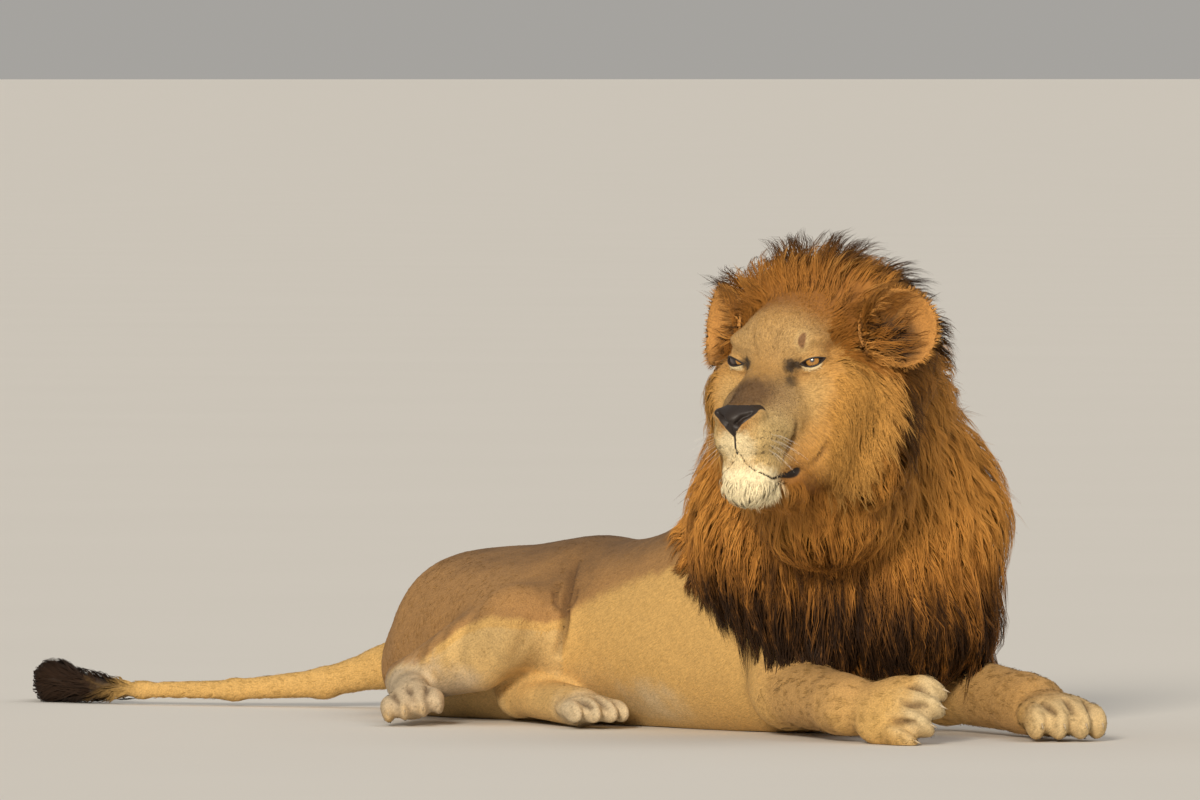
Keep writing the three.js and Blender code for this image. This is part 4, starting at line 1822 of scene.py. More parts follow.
@dataclass(frozen=True)
class SkinFinish:
    """Skin with the coat's colours, and bare dark skin at nose, lips and lids."""

    groups: Groups
    strand: float = 0.42
    lock: float = 0.3
    furry_roughness: float = 0.86
    bare_roughness: float = 0.5
    relief: float = 0.7
    relief_depth: float = 0.002
    pore_scale: float = 600.0
    pore_height: float = 0.25

    def material(self) -> Material:
        """Makes the material.

        Returns:
            The material.
        """
        material, n, shader = new_material("skin")
        place, bare = n.place(), n.value("bare")
        short = n.group(self.groups.short, Place=place, Strand=self.strand, Pale=n.value("pale"),
                        Side=n.value("side"))
        long = n.group(self.groups.long, Place=place, Strand=self.lock, Tip=0.0).outputs[0]
        colour = n.mix(n.value("mane"), short.outputs["Colour"], long)
        colour = n.mix(n.ramp(bare, 0.3, 0.62), colour, self.groups.palette.leather)
        pores = n.group(self.groups.grain, Place=place, Fine=self.pore_scale).outputs[0]
        smooth = n.times(n.ramp(bare, 0.3, 0.6), self.pore_height)
        furry = n.times(short.outputs["Fur"], n.ramp(bare, 0.3, 0.6, 1.0, 0.0))
        bump = n.add("ShaderNodeBump", {"Strength": self.relief, "Distance": self.relief_depth,
                                        "Height": n.plus(furry, n.times(pores, smooth))})
        n.feed(shader, {"Base Color": colour, "Normal": bump.outputs[0],
                        "Roughness": n.ramp(bare, 0.3, 0.7, self.furry_roughness,
                                            self.bare_roughness)})
        return material


@dataclass(frozen=True)
class ShortHair:
    """Hair of the short coat."""

    groups: Groups
    roughness: float = 0.7
    gloss: float = 0.2

    def material(self) -> Material:
        """Makes the material.

        Returns:
            The material.
        """
        material, n, shader = new_material("short_hair")
        colour = n.group(self.groups.short, Place=n.place(), Strand=n.value("strand"),
                         Pale=n.value("pale"), Side=n.value("side")).outputs["Colour"]
        n.feed(shader, {"Base Color": colour, "Roughness": self.roughness,
                        "Specular IOR Level": self.gloss})
        return material


@dataclass(frozen=True)
class ManeHair:
    """Hair of the mane and of the other long locks."""

    groups: Groups
    roughness: float = 0.55
    gloss: float = 0.14

    def material(self) -> Material:
        """Makes the material.

        Returns:
            The material.
        """
        material, n, shader = new_material("mane_hair")
        colour = n.group(self.groups.long, Place=n.place(), Strand=n.value("strand"),
                         Tip=n.value("tip")).outputs[0]
        n.feed(shader, {"Base Color": colour, "Roughness": self.roughness,
                        "Specular IOR Level": self.gloss})
        return material


@dataclass(frozen=True)
class AmberEye:
    """An amber iris round a black pupil, with a dark edge, under a wet surface."""

    centre: Vec
    gaze: Vec
    fibre_scale: float = 900.0
    amber_dark: Vec = (0.22, 0.085, 0.012)
    amber_light: Vec = (0.52, 0.25, 0.035)
    inner_amber: Vec = (0.3, 0.13, 0.02)
    pupil: Vec = (0.004, 0.003, 0.003)
    dark_edge: Vec = (0.015, 0.009, 0.006)
    white: Vec = (0.07, 0.045, 0.035)
    roughness: float = 0.3
    wet: float = 0.5
    wet_roughness: float = 0.08

    def material(self) -> Material:
        """Makes the material, whose rings lie at angles from the gaze, in radians.

        Returns:
            The material.
        """
        material, n, shader = new_material("amber_eye")
        away = n.vector("SUBTRACT", n.place(), self.centre)
        angle = n.math("ARCCOSINE", n.vector("DOT_PRODUCT", n.vector("NORMALIZE", away),
                                             self.gaze))
        fibres = n.ramp(n.noise(away, self.fibre_scale, 4.0, 0.7), 0.35, 0.65)
        amber = n.mix(fibres, self.amber_dark, self.amber_light)
        amber = n.mix(n.ramp(angle, 0.18, 0.3), self.inner_amber, amber)
        colour = n.mix(n.ramp(angle, 0.15, 0.18), self.pupil, amber)
        colour = n.mix(n.ramp(angle, 0.45, 0.52), colour, self.dark_edge)
        colour = n.mix(n.ramp(angle, 0.62, 0.9), colour, self.white)
        n.feed(shader, {"Base Color": colour, "Roughness": self.roughness,
                        "Coat Weight": self.wet, "Coat Roughness": self.wet_roughness})
        return material


@dataclass(frozen=True)
class ClawHorn:
    """Translucent-looking brown horn, darker at the root."""

    groups: Groups
    grain_scale: float = 500.0
    root: Vec = (0.1, 0.06, 0.035)
    dark: Vec = (0.34, 0.25, 0.15)
    light: Vec = (0.52, 0.42, 0.28)
    roughness: float = 0.32

    def material(self) -> Material:
        """Makes the material.

        Returns:
            The material.
        """
        material, n, shader = new_material("claw_horn")
        height = n.group(self.groups.grain, Place=n.place(), Fine=self.grain_scale).outputs[0]
        tint = n.mix(n.ramp(height, 0.35, 0.65), self.dark, self.light)
        n.feed(shader, {"Base Color": n.mix(n.ramp(n.value("tip"), 0.0, 0.4), self.root, tint),
                        "Roughness": self.roughness})
        return material


@dataclass(frozen=True)
class WhiskerHair:
    """Stiff white hair."""

    root: Vec = (0.75, 0.7, 0.6)
    tip: Vec = (0.86, 0.84, 0.8)
    roughness: float = 0.4

    def material(self) -> Material:
        """Makes the material.

        Returns:
            The material.
        """
        material, n, shader = new_material("whisker_hair")
        n.feed(shader, {"Base Color": n.mix(n.value("tip"), self.root, self.tip),
                        "Roughness": self.roughness})
        return material


@dataclass(frozen=True)
class PaleFloor:
    """A plain pale floor."""

    dark: Vec = (0.72, 0.7, 0.66)
    light: Vec = (0.75, 0.73, 0.69)
    cloud_scale: float = 0.8
    roughness: float = 0.9

    def material(self) -> Material:
        """Makes the material.

        Returns:
            The material.
        """
        material, n, shader = new_material("floor")
        clouds = n.noise(n.place(), self.cloud_scale)
        n.feed(shader, {"Base Color": n.mix(clouds, self.dark, self.light),
                        "Roughness": self.roughness})
        return material


# ---- the skin ----------------------------------------------------------------------------------

@dataclass(frozen=True)
class ManeEdge:
    """The mane's hind edge, which leans back as it rises, and more above a height."""

    at_floor: float = 548.0
    lean: float = 1.12
    high: float = 190.0
    high_lean: float = 0.2
    slant: float = 1.5


def ahead_of_edge(points: Array, edge: ManeEdge = ManeEdge()) -> Array:
    """How far in front of the mane's hind edge places are, in millimetres square to it.

    Args:
        points: places in the body's axes.
        edge: the mane's hind edge.

    Returns:
        One distance for each place.
    """
    over = np.maximum(points[:, 2] - edge.high, 0.0)
    return (points[:, 0] + edge.lean * points[:, 2] + edge.high_lean * over
            - edge.at_floor) / edge.slant


def side_on(points: Array) -> Array:
    """Places on an upright plane that faces right and forward, both sides of the body alike."""
    along, across = SIDE_PLANE
    return np.stack([along * points[:, 0] - across * np.abs(points[:, 1]), points[:, 2]], 1)


@dataclass(frozen=True)
class SideMarks:
    """Where the brown of back and haunch ends, and the pale thigh, as seen side on."""

    haunch: tuple[tuple[float, float], ...] = (
        (-420, -100), (-396, 40), (-383, 71), (-330, 120), (-297, 144), (-264, 156),
        (-220, 152), (-181, 147), (-151, 153))
    flank: tuple[tuple[float, float], ...] = (
        (-140, 172), (-99, 196), (-55, 216), (-11, 234), (34, 249), (200, 310))
    step: float = -146.0

    def at(self, points: Array) -> Array:
        """1 on the brown back and haunch, 0 on the flank, -1 on the pale thigh.

        Args:
            points: places in the body's axes.

        Returns:
            One value for each place.
        """
        along, high = side_on(points).T
        rows = np.array(self.haunch + self.flank, dtype=float)
        over = high - np.interp(along, rows[:, 0], rows[:, 1])
        thigh = along < self.step
        above = np.where(thigh, ease(over, -8.0, 20.0), ease(over, -26.0, 28.0))
        below = thigh * ease(-over, 0.0, 18.0) * ease(-along, 150.0, 162.0)
        return above - below * (points[:, 1] < 0.0)


@dataclass(frozen=True)
class Focus:
    """A ball in which the skin's triangles are finer."""

    centre: Vec
    radius: float
    edge: float
    space: Space = Space.HEAD


@dataclass
class Skin:
    """One skin over the whole body, with every fold."""

    body: Body
    face: Face
    ears: list[Ear]
    focus: list[Focus]
    toe_gaps: list[Fold]
    step: float = 12.0
    edge: float = 14.0
    margin: float = 30.0
    near_side: float = -40.0
    mane_overlap: float = 6.0
    marks: SideMarks = field(default_factory=SideMarks)
    # Folds of the thigh and knee, side on; the last number is the painted shade that darkens each.
    folds: tuple[Fold, ...] = (
        Fold(((-134, 247), (-143, 222), (-147, 205), (-152, 186), (-152, 160), (-155, 138),
              (-164, 100)), 13.0, 5.5, 0.75),
        Fold(((-160, 212), (-166, 198), (-165, 184), (-156, 172)), 7.0, 4.6, 0.5),
        Fold(((-135, 206), (-139, 192), (-146, 176)), 6.0, 4.6, 0.45),
        Fold(((-196, 164), (-212, 132), (-232, 92)), 3.0, 9.0, 0.12),
        Fold(((-250, 160), (-262, 128), (-280, 84)), 3.0, 10.0, 0.12),
        Fold(((-304, 130), (-312, 104), (-326, 70)), 2.5, 9.0, 0.12))

    def wanted(self, points: Array) -> Array:
        """The edge length wanted at some places.

        Args:
            points: places in the body's axes.

        Returns:
            One length for each place.
        """
        sizes = np.full(len(points), self.edge)
        places = {Space.BODY: points, Space.HEAD: to_head(points)}
        for one in self.focus:
            gap = np.linalg.norm(places[one.space] - np.array(one.centre), axis=1)
            size = one.edge * (1.0 + np.maximum(gap - one.radius, 0.0) / (one.radius * 0.5))
            sizes = np.minimum(sizes, size)
        return sizes

    def bounds(self) -> tuple[Array, Array]:
        """The lowest and highest corners of a box that holds the body.

        Returns:
            The two corners.
        """
        boxes = []
        for part in self.body.parts:
            low, high = part.low + CULL, part.high - CULL
            if part.space is Space.HEAD:
                ends = from_head(np.where(CORNERS, high, low))
                low, high = ends.min(0), ends.max(0)
            boxes.append((low, high))
        low = np.min([low for low, _ in boxes], axis=0) - self.margin
        high = np.max([high for _, high in boxes], axis=0) + self.margin
        low[2] = -self.margin
        return low, high

    def furrowed(self, points: Array, normals: Array, tone: Array) -> tuple[Array, Array]:
        """Sinks the folds of the near side, and the gaps between toes, into the skin, and darkens them
        with painted shade.

        Args:
            points: the skin's points.
            normals: the way out of the skin at each.
            tone: their tones so far.

        Returns:
            The points and their tones.
        """
        flat, near = side_on(points), points[:, 1] < self.near_side
        rows = [(fold, near, along_line(flat, np.array(fold.line, dtype=float)))
                for fold in self.folds]
        for fold in self.toe_gaps:
            line = self.body.settle(np.array(fold.line, dtype=float), 8)
            rows.append((fold, 1.0, along_line(points, line)))
        for fold, shown, (gap, share) in rows:
            inside = shown * bell(gap, fold.width) * np.sin(math.pi * share) ** 0.5
            points = points - normals * (fold.depth * inside)[:, None]
            # Painted shade darkens the fold's colour.
            tone = tone - fold.dark * inside * (1.0 - np.abs(tone))
        points[:, 2] = np.maximum(points[:, 2], FLOOR_REST)
        return points, tone

    def build(self) -> None:
        """Makes the skin's points, triangles, normals, bareness, areas and map."""
        points, faces = surface_net(self.body.skin, *self.bounds(), self.step)
        points = self.body.settle(points)
        points, faces = refine(points, faces, self.wanted, self.body.settle)
        points = evened(points, faces, lambda p: self.body.settle(p, 1))
        normals = normals_of(points, faces)
        places = to_head(points)
        shift, bare, tone = self.face.detail(places, normals @ HEAD_AXES, self.body)
        for ear in self.ears:
            shift = shift + ear.cup(places)
        points, tone = self.furrowed(points + shift @ HEAD_AXES.T, normals, tone)
        self.points, self.faces, self.bare = points, faces, bare
        self.normals = normals_of(points, faces)
        self.areas = self.body.area(points)
        furred = self.body.holds(self.areas, "mane", "crown")
        furred |= self.body.holds(self.areas, "trunk") & (points[:, 2] > MANE_LOW)
        furred &= ahead_of_edge(points) > -self.mane_overlap
        self.furred = self.spread_out(furred.astype(float))
        marked = self.body.holds(self.areas, "trunk", "thigh", "shank")
        side = np.where(marked, self.marks.at(points), 0.0)
        # pale is 1 in the pale strip under the eyes, and below 0 it is painted shade in folds, toe
        # gaps and creases.
        self.tones = {"pale": tone, "side": self.spread_out(side, 1)}
        self.map = unwrapped(points, faces, self.body.area(points[faces].mean(1)))

    def spread_out(self, values: Array, rounds: int = 4) -> Array:
        """Numbers evened out over neighbouring points.

        Args:
            values: one number for each point.
            rounds: how often it is done.

        Returns:
            The evened numbers.
        """
        mean = neighbour_mean(self.faces, len(values))
        for _ in range(rounds):
            values = mean(values)
        return values

    def dress(self, groups: Groups) -> None:
        """Makes the object that stands for every piece of flesh.

        Args:
            groups: the shader groups to colour it with.
        """
        made = mesh_object("skin", self.points, self.faces, SkinFinish(groups).material(),
                           {"bare": self.bare, "mane": self.furred, **self.tones}, self.map)
        flesh = [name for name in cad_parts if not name.startswith("eye_")]
        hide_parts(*flesh)


# ---- the coat ----------------------------------------------------------------------------------

@dataclass(frozen=True)
class Roots:
    """Where tufts grow."""

    place: Array
    normal: Array
    map: Array
    tones: dict[str, Array]


Chooser = Callable[[Skin, Array, Array], Array]


@dataclass(frozen=True)
class Coat:
    """One piece of the coat: tufts or locks that lie along the body.

    length gives a lock's length at its root; rise says how near the coat's surface its tip comes,
    where 1 is the surface itself. per is how many strands a lock has, spread how wide they stand
    and gather how far they come together again. Pairs are ranges that chance picks from.
    """

    name: str
    slot: str
    where: Chooser
    guides: int
    per: int
    length: Callable[[Array], Array]
    width: float
    rings: int = 2
    thick: float = 0.15
    spread: float = 5.0
    gather: float = 0.5
    rise: tuple[float, float] = (0.35, 0.6)
    climb: float = 0.4
    wave: float = 0.0
    stray: float = 0.2
    long: bool = False
    soft: float = 0.85
    loft: float = 0.04
    stand: float = 1.1
    tint: tuple[float, float] = (0.0, 1.0)
    lean: float = 0.0
    patch: float = 0.003
    floor: float = 0.9
    head_half: float = 110.0
    sink: float = 1.5
    dive: float = 0.7
    scatter: float = 0.55
    bare_most: float = 0.25
    root_floor: float = 2.5
    tint_shares: tuple[float, float] = (0.45, 0.55)
    lengths: tuple[float, float] = (0.75, 1.2)
    reach: tuple[float, float] = (0.72, 1.0)
    waves: tuple[float, float] = (0.9, 1.8)
    widths: tuple[float, float] = (0.7, 1.3)
    long_swell: tuple[float, ...] = (0.75, 1.0, 0.85, 0.68, 0.5, 0.4)
    short_swell: tuple[float, ...] = (0.9, 0.8)

    def roots(self, skin: Skin, rng: np.random.Generator) -> Roots:
        """Roots scattered evenly over the piece's stretch of skin.

        Args:
            skin: the skin that they grow on.
            rng: the source of chance.

        Returns:
            The roots.
        """
        corners = skin.points[skin.faces]
        middle = corners.mean(1)
        size = np.linalg.norm(np.cross(corners[:, 1] - corners[:, 0],
                                       corners[:, 2] - corners[:, 0]), axis=1)
        areas = skin.areas[skin.faces[:, 0]]
        bare = skin.bare[skin.faces].max(1)
        clear = (bare < self.bare_most) & (middle[:, 2] > self.root_floor)
        weight = size * clear * self.where(skin, middle, areas)
        chosen = rng.choice(len(size), self.guides, p=weight / weight.sum())
        a, b = np.sort(rng.random((2, self.guides)), axis=0)
        shares = np.stack([a, b - a, 1.0 - b], 1)[:, :, None]
        faces = skin.faces[chosen]
        return Roots((skin.points[faces] * shares).sum(1),
                     unit((skin.normals[faces] * shares).sum(1)),
                     (skin.map[chosen] * shares).sum(1),
                     {key: (tone[faces] * shares[:, :, 0]).sum(1)
                      for key, tone in skin.tones.items()})

    def lay(self, body: Body, roots: Roots, rng: np.random.Generator) -> tuple[Array, Array]:
        """The way that each lock takes, from its root along the coat.

        Args:
            body: the body whose coat they follow.
            roots: where they grow.
            rng: the source of chance.

        Returns:
            Places along each lock, and the way out of the coat at each.
        """
        count = len(roots.place)
        lengths = self.length(roots.place) * rng.uniform(*self.lengths, count)
        step = (lengths / self.rings)[:, None]
        rise = rng.uniform(*self.rise, count)
        swerve = rng.normal(0.0, self.stray, count)[:, None]
        here, out = body.slope(roots.place, 0.0)
        depth = -np.minimum(here, -1.0)
        point, out = roots.place.copy(), roots.normal
        path, ways = [point], [out]
        for j in range(1, self.rings + 1):
            share = j / self.rings
            lie = FromFace()(point) if self.long else body.lie(point)
            aside = np.clip(to_head(point)[:, 1:2] / self.head_half, -1.0, 1.0)
            lie = lie + self.lean * aside * HEAD_AXES[:, 1]
            lie = unit(lie - (lie * out).sum(1, keepdims=True) * out + 1e-6)
            lie = unit(lie + swerve * np.cross(out, lie))
            level = -depth * (1.0 - rise * min(share / self.climb, 1.0))
            push = np.clip((level - here)[:, None] / step, -self.dive, self.stand)
            point = point + unit(lie + out * push) * step
            point[:, 2] = np.maximum(point[:, 2], self.floor + FLOOR_REST)
            here, out = body.slope(point, 0.0)
            path.append(point)
            ways.append(out)
        return np.stack(path, 1), np.stack(ways, 1)

    def spines(self, path: Array, ways: Array,
               rng: np.random.Generator) -> tuple[Array, Array]:
        """The line down the middle of each strand, beside its lock's own way.

        Args:
            path: places along each lock.
            ways: the way out of the coat at each.
            rng: the source of chance.

        Returns:
            Places along each strand, and the way out of the coat at each.
        """
        locks, rings = path.shape[0], self.rings
        many = locks * self.per
        reach = rng.uniform(*self.reach, many)
        share = np.linspace(0.0, 1.0, rings + 1)
        t = reach[:, None] * share[None, :] * rings
        low = np.minimum(t.astype(int), rings - 1)
        part = (t - low)[:, :, None]
        lock = np.repeat(np.arange(locks), self.per)[:, None]
        spine = path[lock, low] * (1.0 - part) + path[lock, low + 1] * part
        out = unit(ways[lock, low] * (1.0 - part) + ways[lock, low + 1] * part)
        across = unit(np.cross(out, unit(np.gradient(spine, axis=1))))
        held = (1.0 - self.gather * share)[None, :, None]
        offset = rng.normal(0.0, self.spread * self.scatter, (many, 2))
        spine = spine + across * (offset[:, :1, None] * held)
        spine = spine + out * (np.abs(offset[:, 1:, None]) * self.loft * share[None, :, None])
        turn = np.repeat(rng.uniform(0.0, math.tau, locks), self.per)[:, None]
        turn = turn + rng.normal(0.0, 0.5, many)[:, None]
        pace = np.repeat(rng.uniform(*self.waves, locks), self.per)[:, None]
        bend = self.wave * np.sin(turn + math.tau * pace * share) * share
        spine = spine + across * bend[:, :, None]
        spine[:, 0] -= out[:, 0] * self.sink
        return spine, out

    def strands(self, path: Array, ways: Array,
                rng: np.random.Generator) -> tuple[Array, Array, Array]:
        """Each lock's strands, as closed three-sided hairs that taper to a point.

        Args:
            path: places along each lock.
            ways: the way out of the coat at each.
            rng: the source of chance.

        Returns:
            The points of each strand, the way that each faces, and the share of the strand's
            length that each is at.
        """
        spine, out = self.spines(path, ways, rng)
        many, rings = len(spine), self.rings
        along = unit(np.gradient(spine, axis=1))
        across = unit(np.cross(out, along))
        over = np.cross(along, across)
        swell = np.array((self.long_swell if rings > 2 else self.short_swell)[:rings])
        width = self.width * rng.uniform(*self.widths, many)[:, None] * swell[None, :]
        half = across[:, :rings] * (width / 2)[:, :, None]
        ridge = over[:, :rings] * (width * self.thick)[:, :, None]
        rim = np.stack([spine[:, :rings] + half, spine[:, :rings] + ridge,
                        spine[:, :rings] - half], 2).reshape(many, rings * 3, 3)
        points = np.concatenate([rim, spine[:, -1:]], 1)
        points[..., 2] = np.maximum(points[..., 2], self.floor)
        blend = self.soft * out[:, :rings]
        own = 1.0 - self.soft
        facing = np.stack([blend + own * across[:, :rings], blend + own * over[:, :rings],
                           blend - own * across[:, :rings]], 2).reshape(many, rings * 3, 3)
        facing = unit(np.concatenate([facing, out[:, -1:]], 1))
        share = np.linspace(0.0, 1.0, rings + 1)[:rings]
        return points, facing, np.concatenate([np.repeat(share, 3), [1.0]])

    def strand_faces(self) -> Array:
        """The triangles of one strand.

        Returns:
            Three point numbers for each triangle.
        """
        faces = [(0, 2, 1)]
        for ring in range(self.rings - 1):
            for c in range(3):
                a, b = ring * 3 + c, ring * 3 + (c + 1) % 3
                faces += [(a, b, b + 3), (a, b + 3, a + 3)]
        last, tip = (self.rings - 1) * 3, self.rings * 3
        faces += [(last + c, last + (c + 1) % 3, tip) for c in range(3)]
        return np.array(faces)

    def build(self, skin: Skin, material: Material, seed: int) -> None:
        """Makes the piece.

        Args:
            skin: the skin that it grows on.
            material: its finish.
            seed: what its chance starts from.
        """
        rng = np.random.default_rng(seed)
        roots = self.roots(skin, rng)
        points, facing, share = self.strands(*self.lay(skin.body, roots, rng), rng)
        many, each = points.shape[:2]
        one = self.strand_faces()
        faces = (one[None] + (np.arange(many) * each)[:, None, None]).reshape(-1, 3)
        lock, own = self.tint_shares
        tint = lock * np.repeat(rng.random(len(roots.place)), self.per) + own * rng.random(many)
        tint = np.repeat(self.tint[0] + (self.tint[1] - self.tint[0]) * tint, each)
        aside = np.resize(np.array([1.0, 0.0, -1.0]), each)
        aside[-1] = 0.0
        rim = self.patch / 2
        spot = np.stack([aside, 2.0 * share - 1.0], 1) * rim
        places = np.clip(np.repeat(roots.map, self.per, axis=0), rim, 1.0 - rim)
        corner = places[:, None, :] + spot[None]
        tones = {key: np.repeat(tone, self.per * each) for key, tone in roots.tones.items()}
        made = mesh_object(self.name, points.reshape(-1, 3), faces, material,
                           {"strand": tint, "tip": np.tile(share, many), **tones},
                           corner.reshape(-1, 2)[faces], facing.reshape(-1, 3))


@dataclass(frozen=True)
class EarLining(Coat):
    """Hair inside the ears, from the cup's wall outwards and across its mouth."""

    across: float = 0.0
    lift: float = 0.1
    bowl: float = 70.0

    def lay(self, body: Body, roots: Roots, rng: np.random.Generator) -> tuple[Array, Array]:
        """The way that each lock takes, from its root over the cup's wall.

        Args:
            body: not used.
            roots: where they grow.
            rng: the source of chance.

        Returns:
            Places along each lock, and the way out of the coat at each.
        """
        places = to_head(roots.place)
        side = np.where(places[:, 1] > 0.0, 1.0, -1.0)[:, None]
        ear = Ear("left")
        mirror = np.array([1.0, -1.0, 1.0])
        centre = np.where(side > 0, ear.centre(), ear.centre() * mirror)
        facing = np.where(side > 0, ear.facing(), ear.facing() * mirror)
        radial = places - centre
        radial = unit(radial - (radial * facing).sum(1, keepdims=True) * facing)
        aside = unit(np.cross(facing, UP) * -side)
        turn = rng.normal(0.35, 0.45, len(places))[:, None]
        over = unit(aside * np.cos(turn) + UP * np.sin(turn))
        way = unit(radial * (1.0 - self.across) + over * self.across)
        normal = roots.normal @ HEAD_AXES
        way = unit(way - (way * normal).sum(1, keepdims=True) * normal * (1.0 - self.lift))
        lengths = (self.length(roots.place) * rng.uniform(0.6, 1.2, len(places)))[:, None]
        path, ways = [], []
        for share in np.linspace(0.0, 1.0, self.rings + 1):
            run = lengths * share
            rise = run ** 2 / (2.0 * self.bowl) + run * self.lift
            path.append(from_head(places + way * run + facing * rise))
            ways.append(unit(roots.normal + facing @ HEAD_AXES.T * share))
        return np.stack(path, 1), np.stack(ways, 1)


# ---- eyes, claws and whiskers ------------------------------------------------------------------

def closed_tube(root: int, first: int, tip: int, sides: int) -> Array:
    """The triangles of a tube of rims, closed by one point at each end.

    Args:
        root: the number of the point before the rims.
        first: the number of the first rim's first point; the rims follow on from it.
        tip: the number of the point that follows the last rim.
        sides: how many points each rim has.

    Returns:
        The triangles.
    """
    faces = []
    last = tip - sides
    for j in range(sides):
        k = (j + 1) % sides
        faces.append((root, first + k, first + j))
        for a in range(first, last, sides):
            b = a + sides
            faces += [(a + j, a + k, b + k), (a + j, b + k, b + j)]
        faces.append((last + j, last + k, tip))
    return np.array(faces)


@dataclass(frozen=True)
class Eye:
    """One eyeball with a bulging cornea, in the place that the frame gives it."""

    side: str
    gaze_yaw: float = math.radians(23.0)
    gaze_pitch: float = math.radians(6.0)
    cornea: float = 1.5
    rings: int = 28
    around: int = 40

    def gaze(self) -> Array:
        """The way that the eye looks, in the frame's axes.

        Returns:
            A direction of length one.
        """
        flat = math.cos(self.gaze_pitch)
        return HEAD_AXES @ np.array([math.cos(self.gaze_yaw) * flat,
                                     math.sin(self.gaze_yaw) * flat, math.sin(self.gaze_pitch)])

    def build(self) -> None:
        """Makes the eyeball."""
        centre = EYE_LINE + HEAD_AXES @ np.array([0.0, SIDES[self.side] * EYE_SPREAD, 0.0])
        gaze = self.gaze()
        side = unit(np.cross(gaze, UP))
        up = np.cross(side, gaze)
        angles = np.linspace(0.0, math.pi, self.rings + 1)
        points = [centre + gaze * (EYE_RADIUS + self.cornea)]
        for angle in angles[1:-1]:
            bulge = EYE_RADIUS + self.cornea * float(ease(np.array(-angle), -0.75, -0.3))
            for turn in np.arange(self.around) * math.tau / self.around:
                way = side * math.cos(turn) + up * math.sin(turn)
                points.append(centre + bulge * (gaze * math.cos(angle) + way * math.sin(angle)))
        points.append(centre - gaze * EYE_RADIUS)
        made = mesh_object(f"eyeball_{self.side}", np.array(points),
                           closed_tube(0, 1, len(points) - 1, self.around),
                           AmberEye(tuple(to_frame(centre)), tuple(gaze)).material())
        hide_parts(f"eye_{self.side}")


def tapered(path: Array, radii: Array, sides: int) -> tuple[Array, Array, Array]:
    """A closed tube along a path that ends in a point.

    Args:
        path: places along it.
        radii: its thickness at each but the last.
        sides: how many faces go round it.

    Returns:
        Points, triangles, and the share of the length that each point is at.
    """
    along = unit(np.gradient(path, axis=0))
    across = unit(np.cross(along, np.array([0.31, 0.22, 0.93])))
    over = np.cross(along, across)
    count = len(path) - 1
    turns = np.arange(sides) * math.tau / sides
    rims = [path[i] + radii[i] * (across[i] * math.cos(t) + over[i] * math.sin(t))
            for i in range(count) for t in turns]
    points = np.array([*rims, path[-1], path[0]])
    share = np.concatenate([np.repeat(np.arange(count) / count, sides), [1.0, 0.0]])
    return points, closed_tube(len(rims) + 1, 0, len(rims), sides), share


def joined(pieces: list[tuple[Array, Array, Array]]) -> tuple[Array, Array, Array]:
    """Several closed meshes as one list of points, triangles and shares.

    Args:
        pieces: the points, triangles and shares of each mesh.

    Returns:
        The three lists.
    """
    points, faces, shares, start = [], [], [], 0
    for some, tris, share in pieces:
        points.append(some)
        faces.append(tris + start)
        shares.append(share)
        start += len(some)
    return np.concatenate(points), np.concatenate(faces), np.concatenate(shares)


@dataclass(frozen=True)
class Claws:
    """The claws of one paw, drawn back so that only their tips show."""

    name: str
    paw: Paw
    length: float = 20.0
    thick: float = 3.4
    drawn_back: float = 17.0
    lifted: float = 3.0
    hook: float = 0.62
    taper: float = 1.6
    clear: float = 1.5

    def build(self, groups: Groups) -> None:
        """Makes the paw's claws as one object.

        Args:
            groups: the shader groups to colour them with.
        """
        axes, _ = self.paw.axes()
        ahead, up = axes[:, 0], axes[:, 2]
        steps = np.linspace(0.0, 1.0, 7)[:, None]
        pieces = []
        for middle in self.paw.toe_middles():
            root = middle + ahead * (self.paw.toe_length - self.drawn_back) + up * self.lifted
            bent = self.length * self.hook * steps ** 2
            path = root + ahead * (self.length * steps) - up * bent
            path[:, 2] = np.maximum(path[:, 2], self.clear)
            pieces.append(tapered(path, self.thick * (1.0 - steps[:, 0] ** self.taper), 8))
        points, faces, share = joined(pieces)
        points[:, 2] = np.maximum(points[:, 2], FLOOR_REST)
        made = mesh_object(self.name, points, faces, ClawHorn(groups).material(), {"tip": share})


@dataclass(frozen=True)
class Whiskers:
    """Long stiff hairs in rows on both sides of the muzzle."""

    length: float = 70.0
    thick: float = 0.16
    rows: int = 4
    columns: int = 3
    first: Vec = (112.0, 55.0, -102.0)
    row_step: float = 9.5
    column_step: float = 10.0
    column_drop: float = 1.5
    droop: float = 0.25
    row_droop: float = 0.14
    droop_spread: float = 0.08
    sag: float = 0.16

    def build(self, body: Body) -> None:
        """Makes all whiskers as one object.

        Args:
            body: the body whose skin they stand on.
        """
        rng = np.random.default_rng(SEED)
        x, y, z = self.first
        steps = np.linspace(0.0, 1.0, 8)[:, None]
        pieces = []
        for sign in SIDES.values():
            for row in range(self.rows):
                for column in range(self.columns):
                    place = np.array([[x - self.column_step * column, sign * y,
                                       z - self.row_step * row - self.column_drop * column]])
                    root = body.settle(from_head(place), 5)[0]
                    droop = self.droop + self.row_droop * row \
                        + rng.uniform(-self.droop_spread, self.droop_spread)
                    way = HEAD_AXES @ unit(np.array([0.1 - 0.13 * column, sign * 1.0, -droop]))
                    size = self.length * rng.uniform(0.55, 1.0) * (0.7 + 0.09 * column)
                    path = root + way * (size * steps) - UP * (self.sag * size * steps ** 2)
                    pieces.append(tapered(path, self.thick * (1.0 - 0.7 * steps[:, 0]), 4))
        points, faces, share = joined(pieces)
        made = mesh_object("whiskers", points, faces, WhiskerHair().material(), {"tip": share})


# ---- the lion ------------------------------------------------------------------------------------

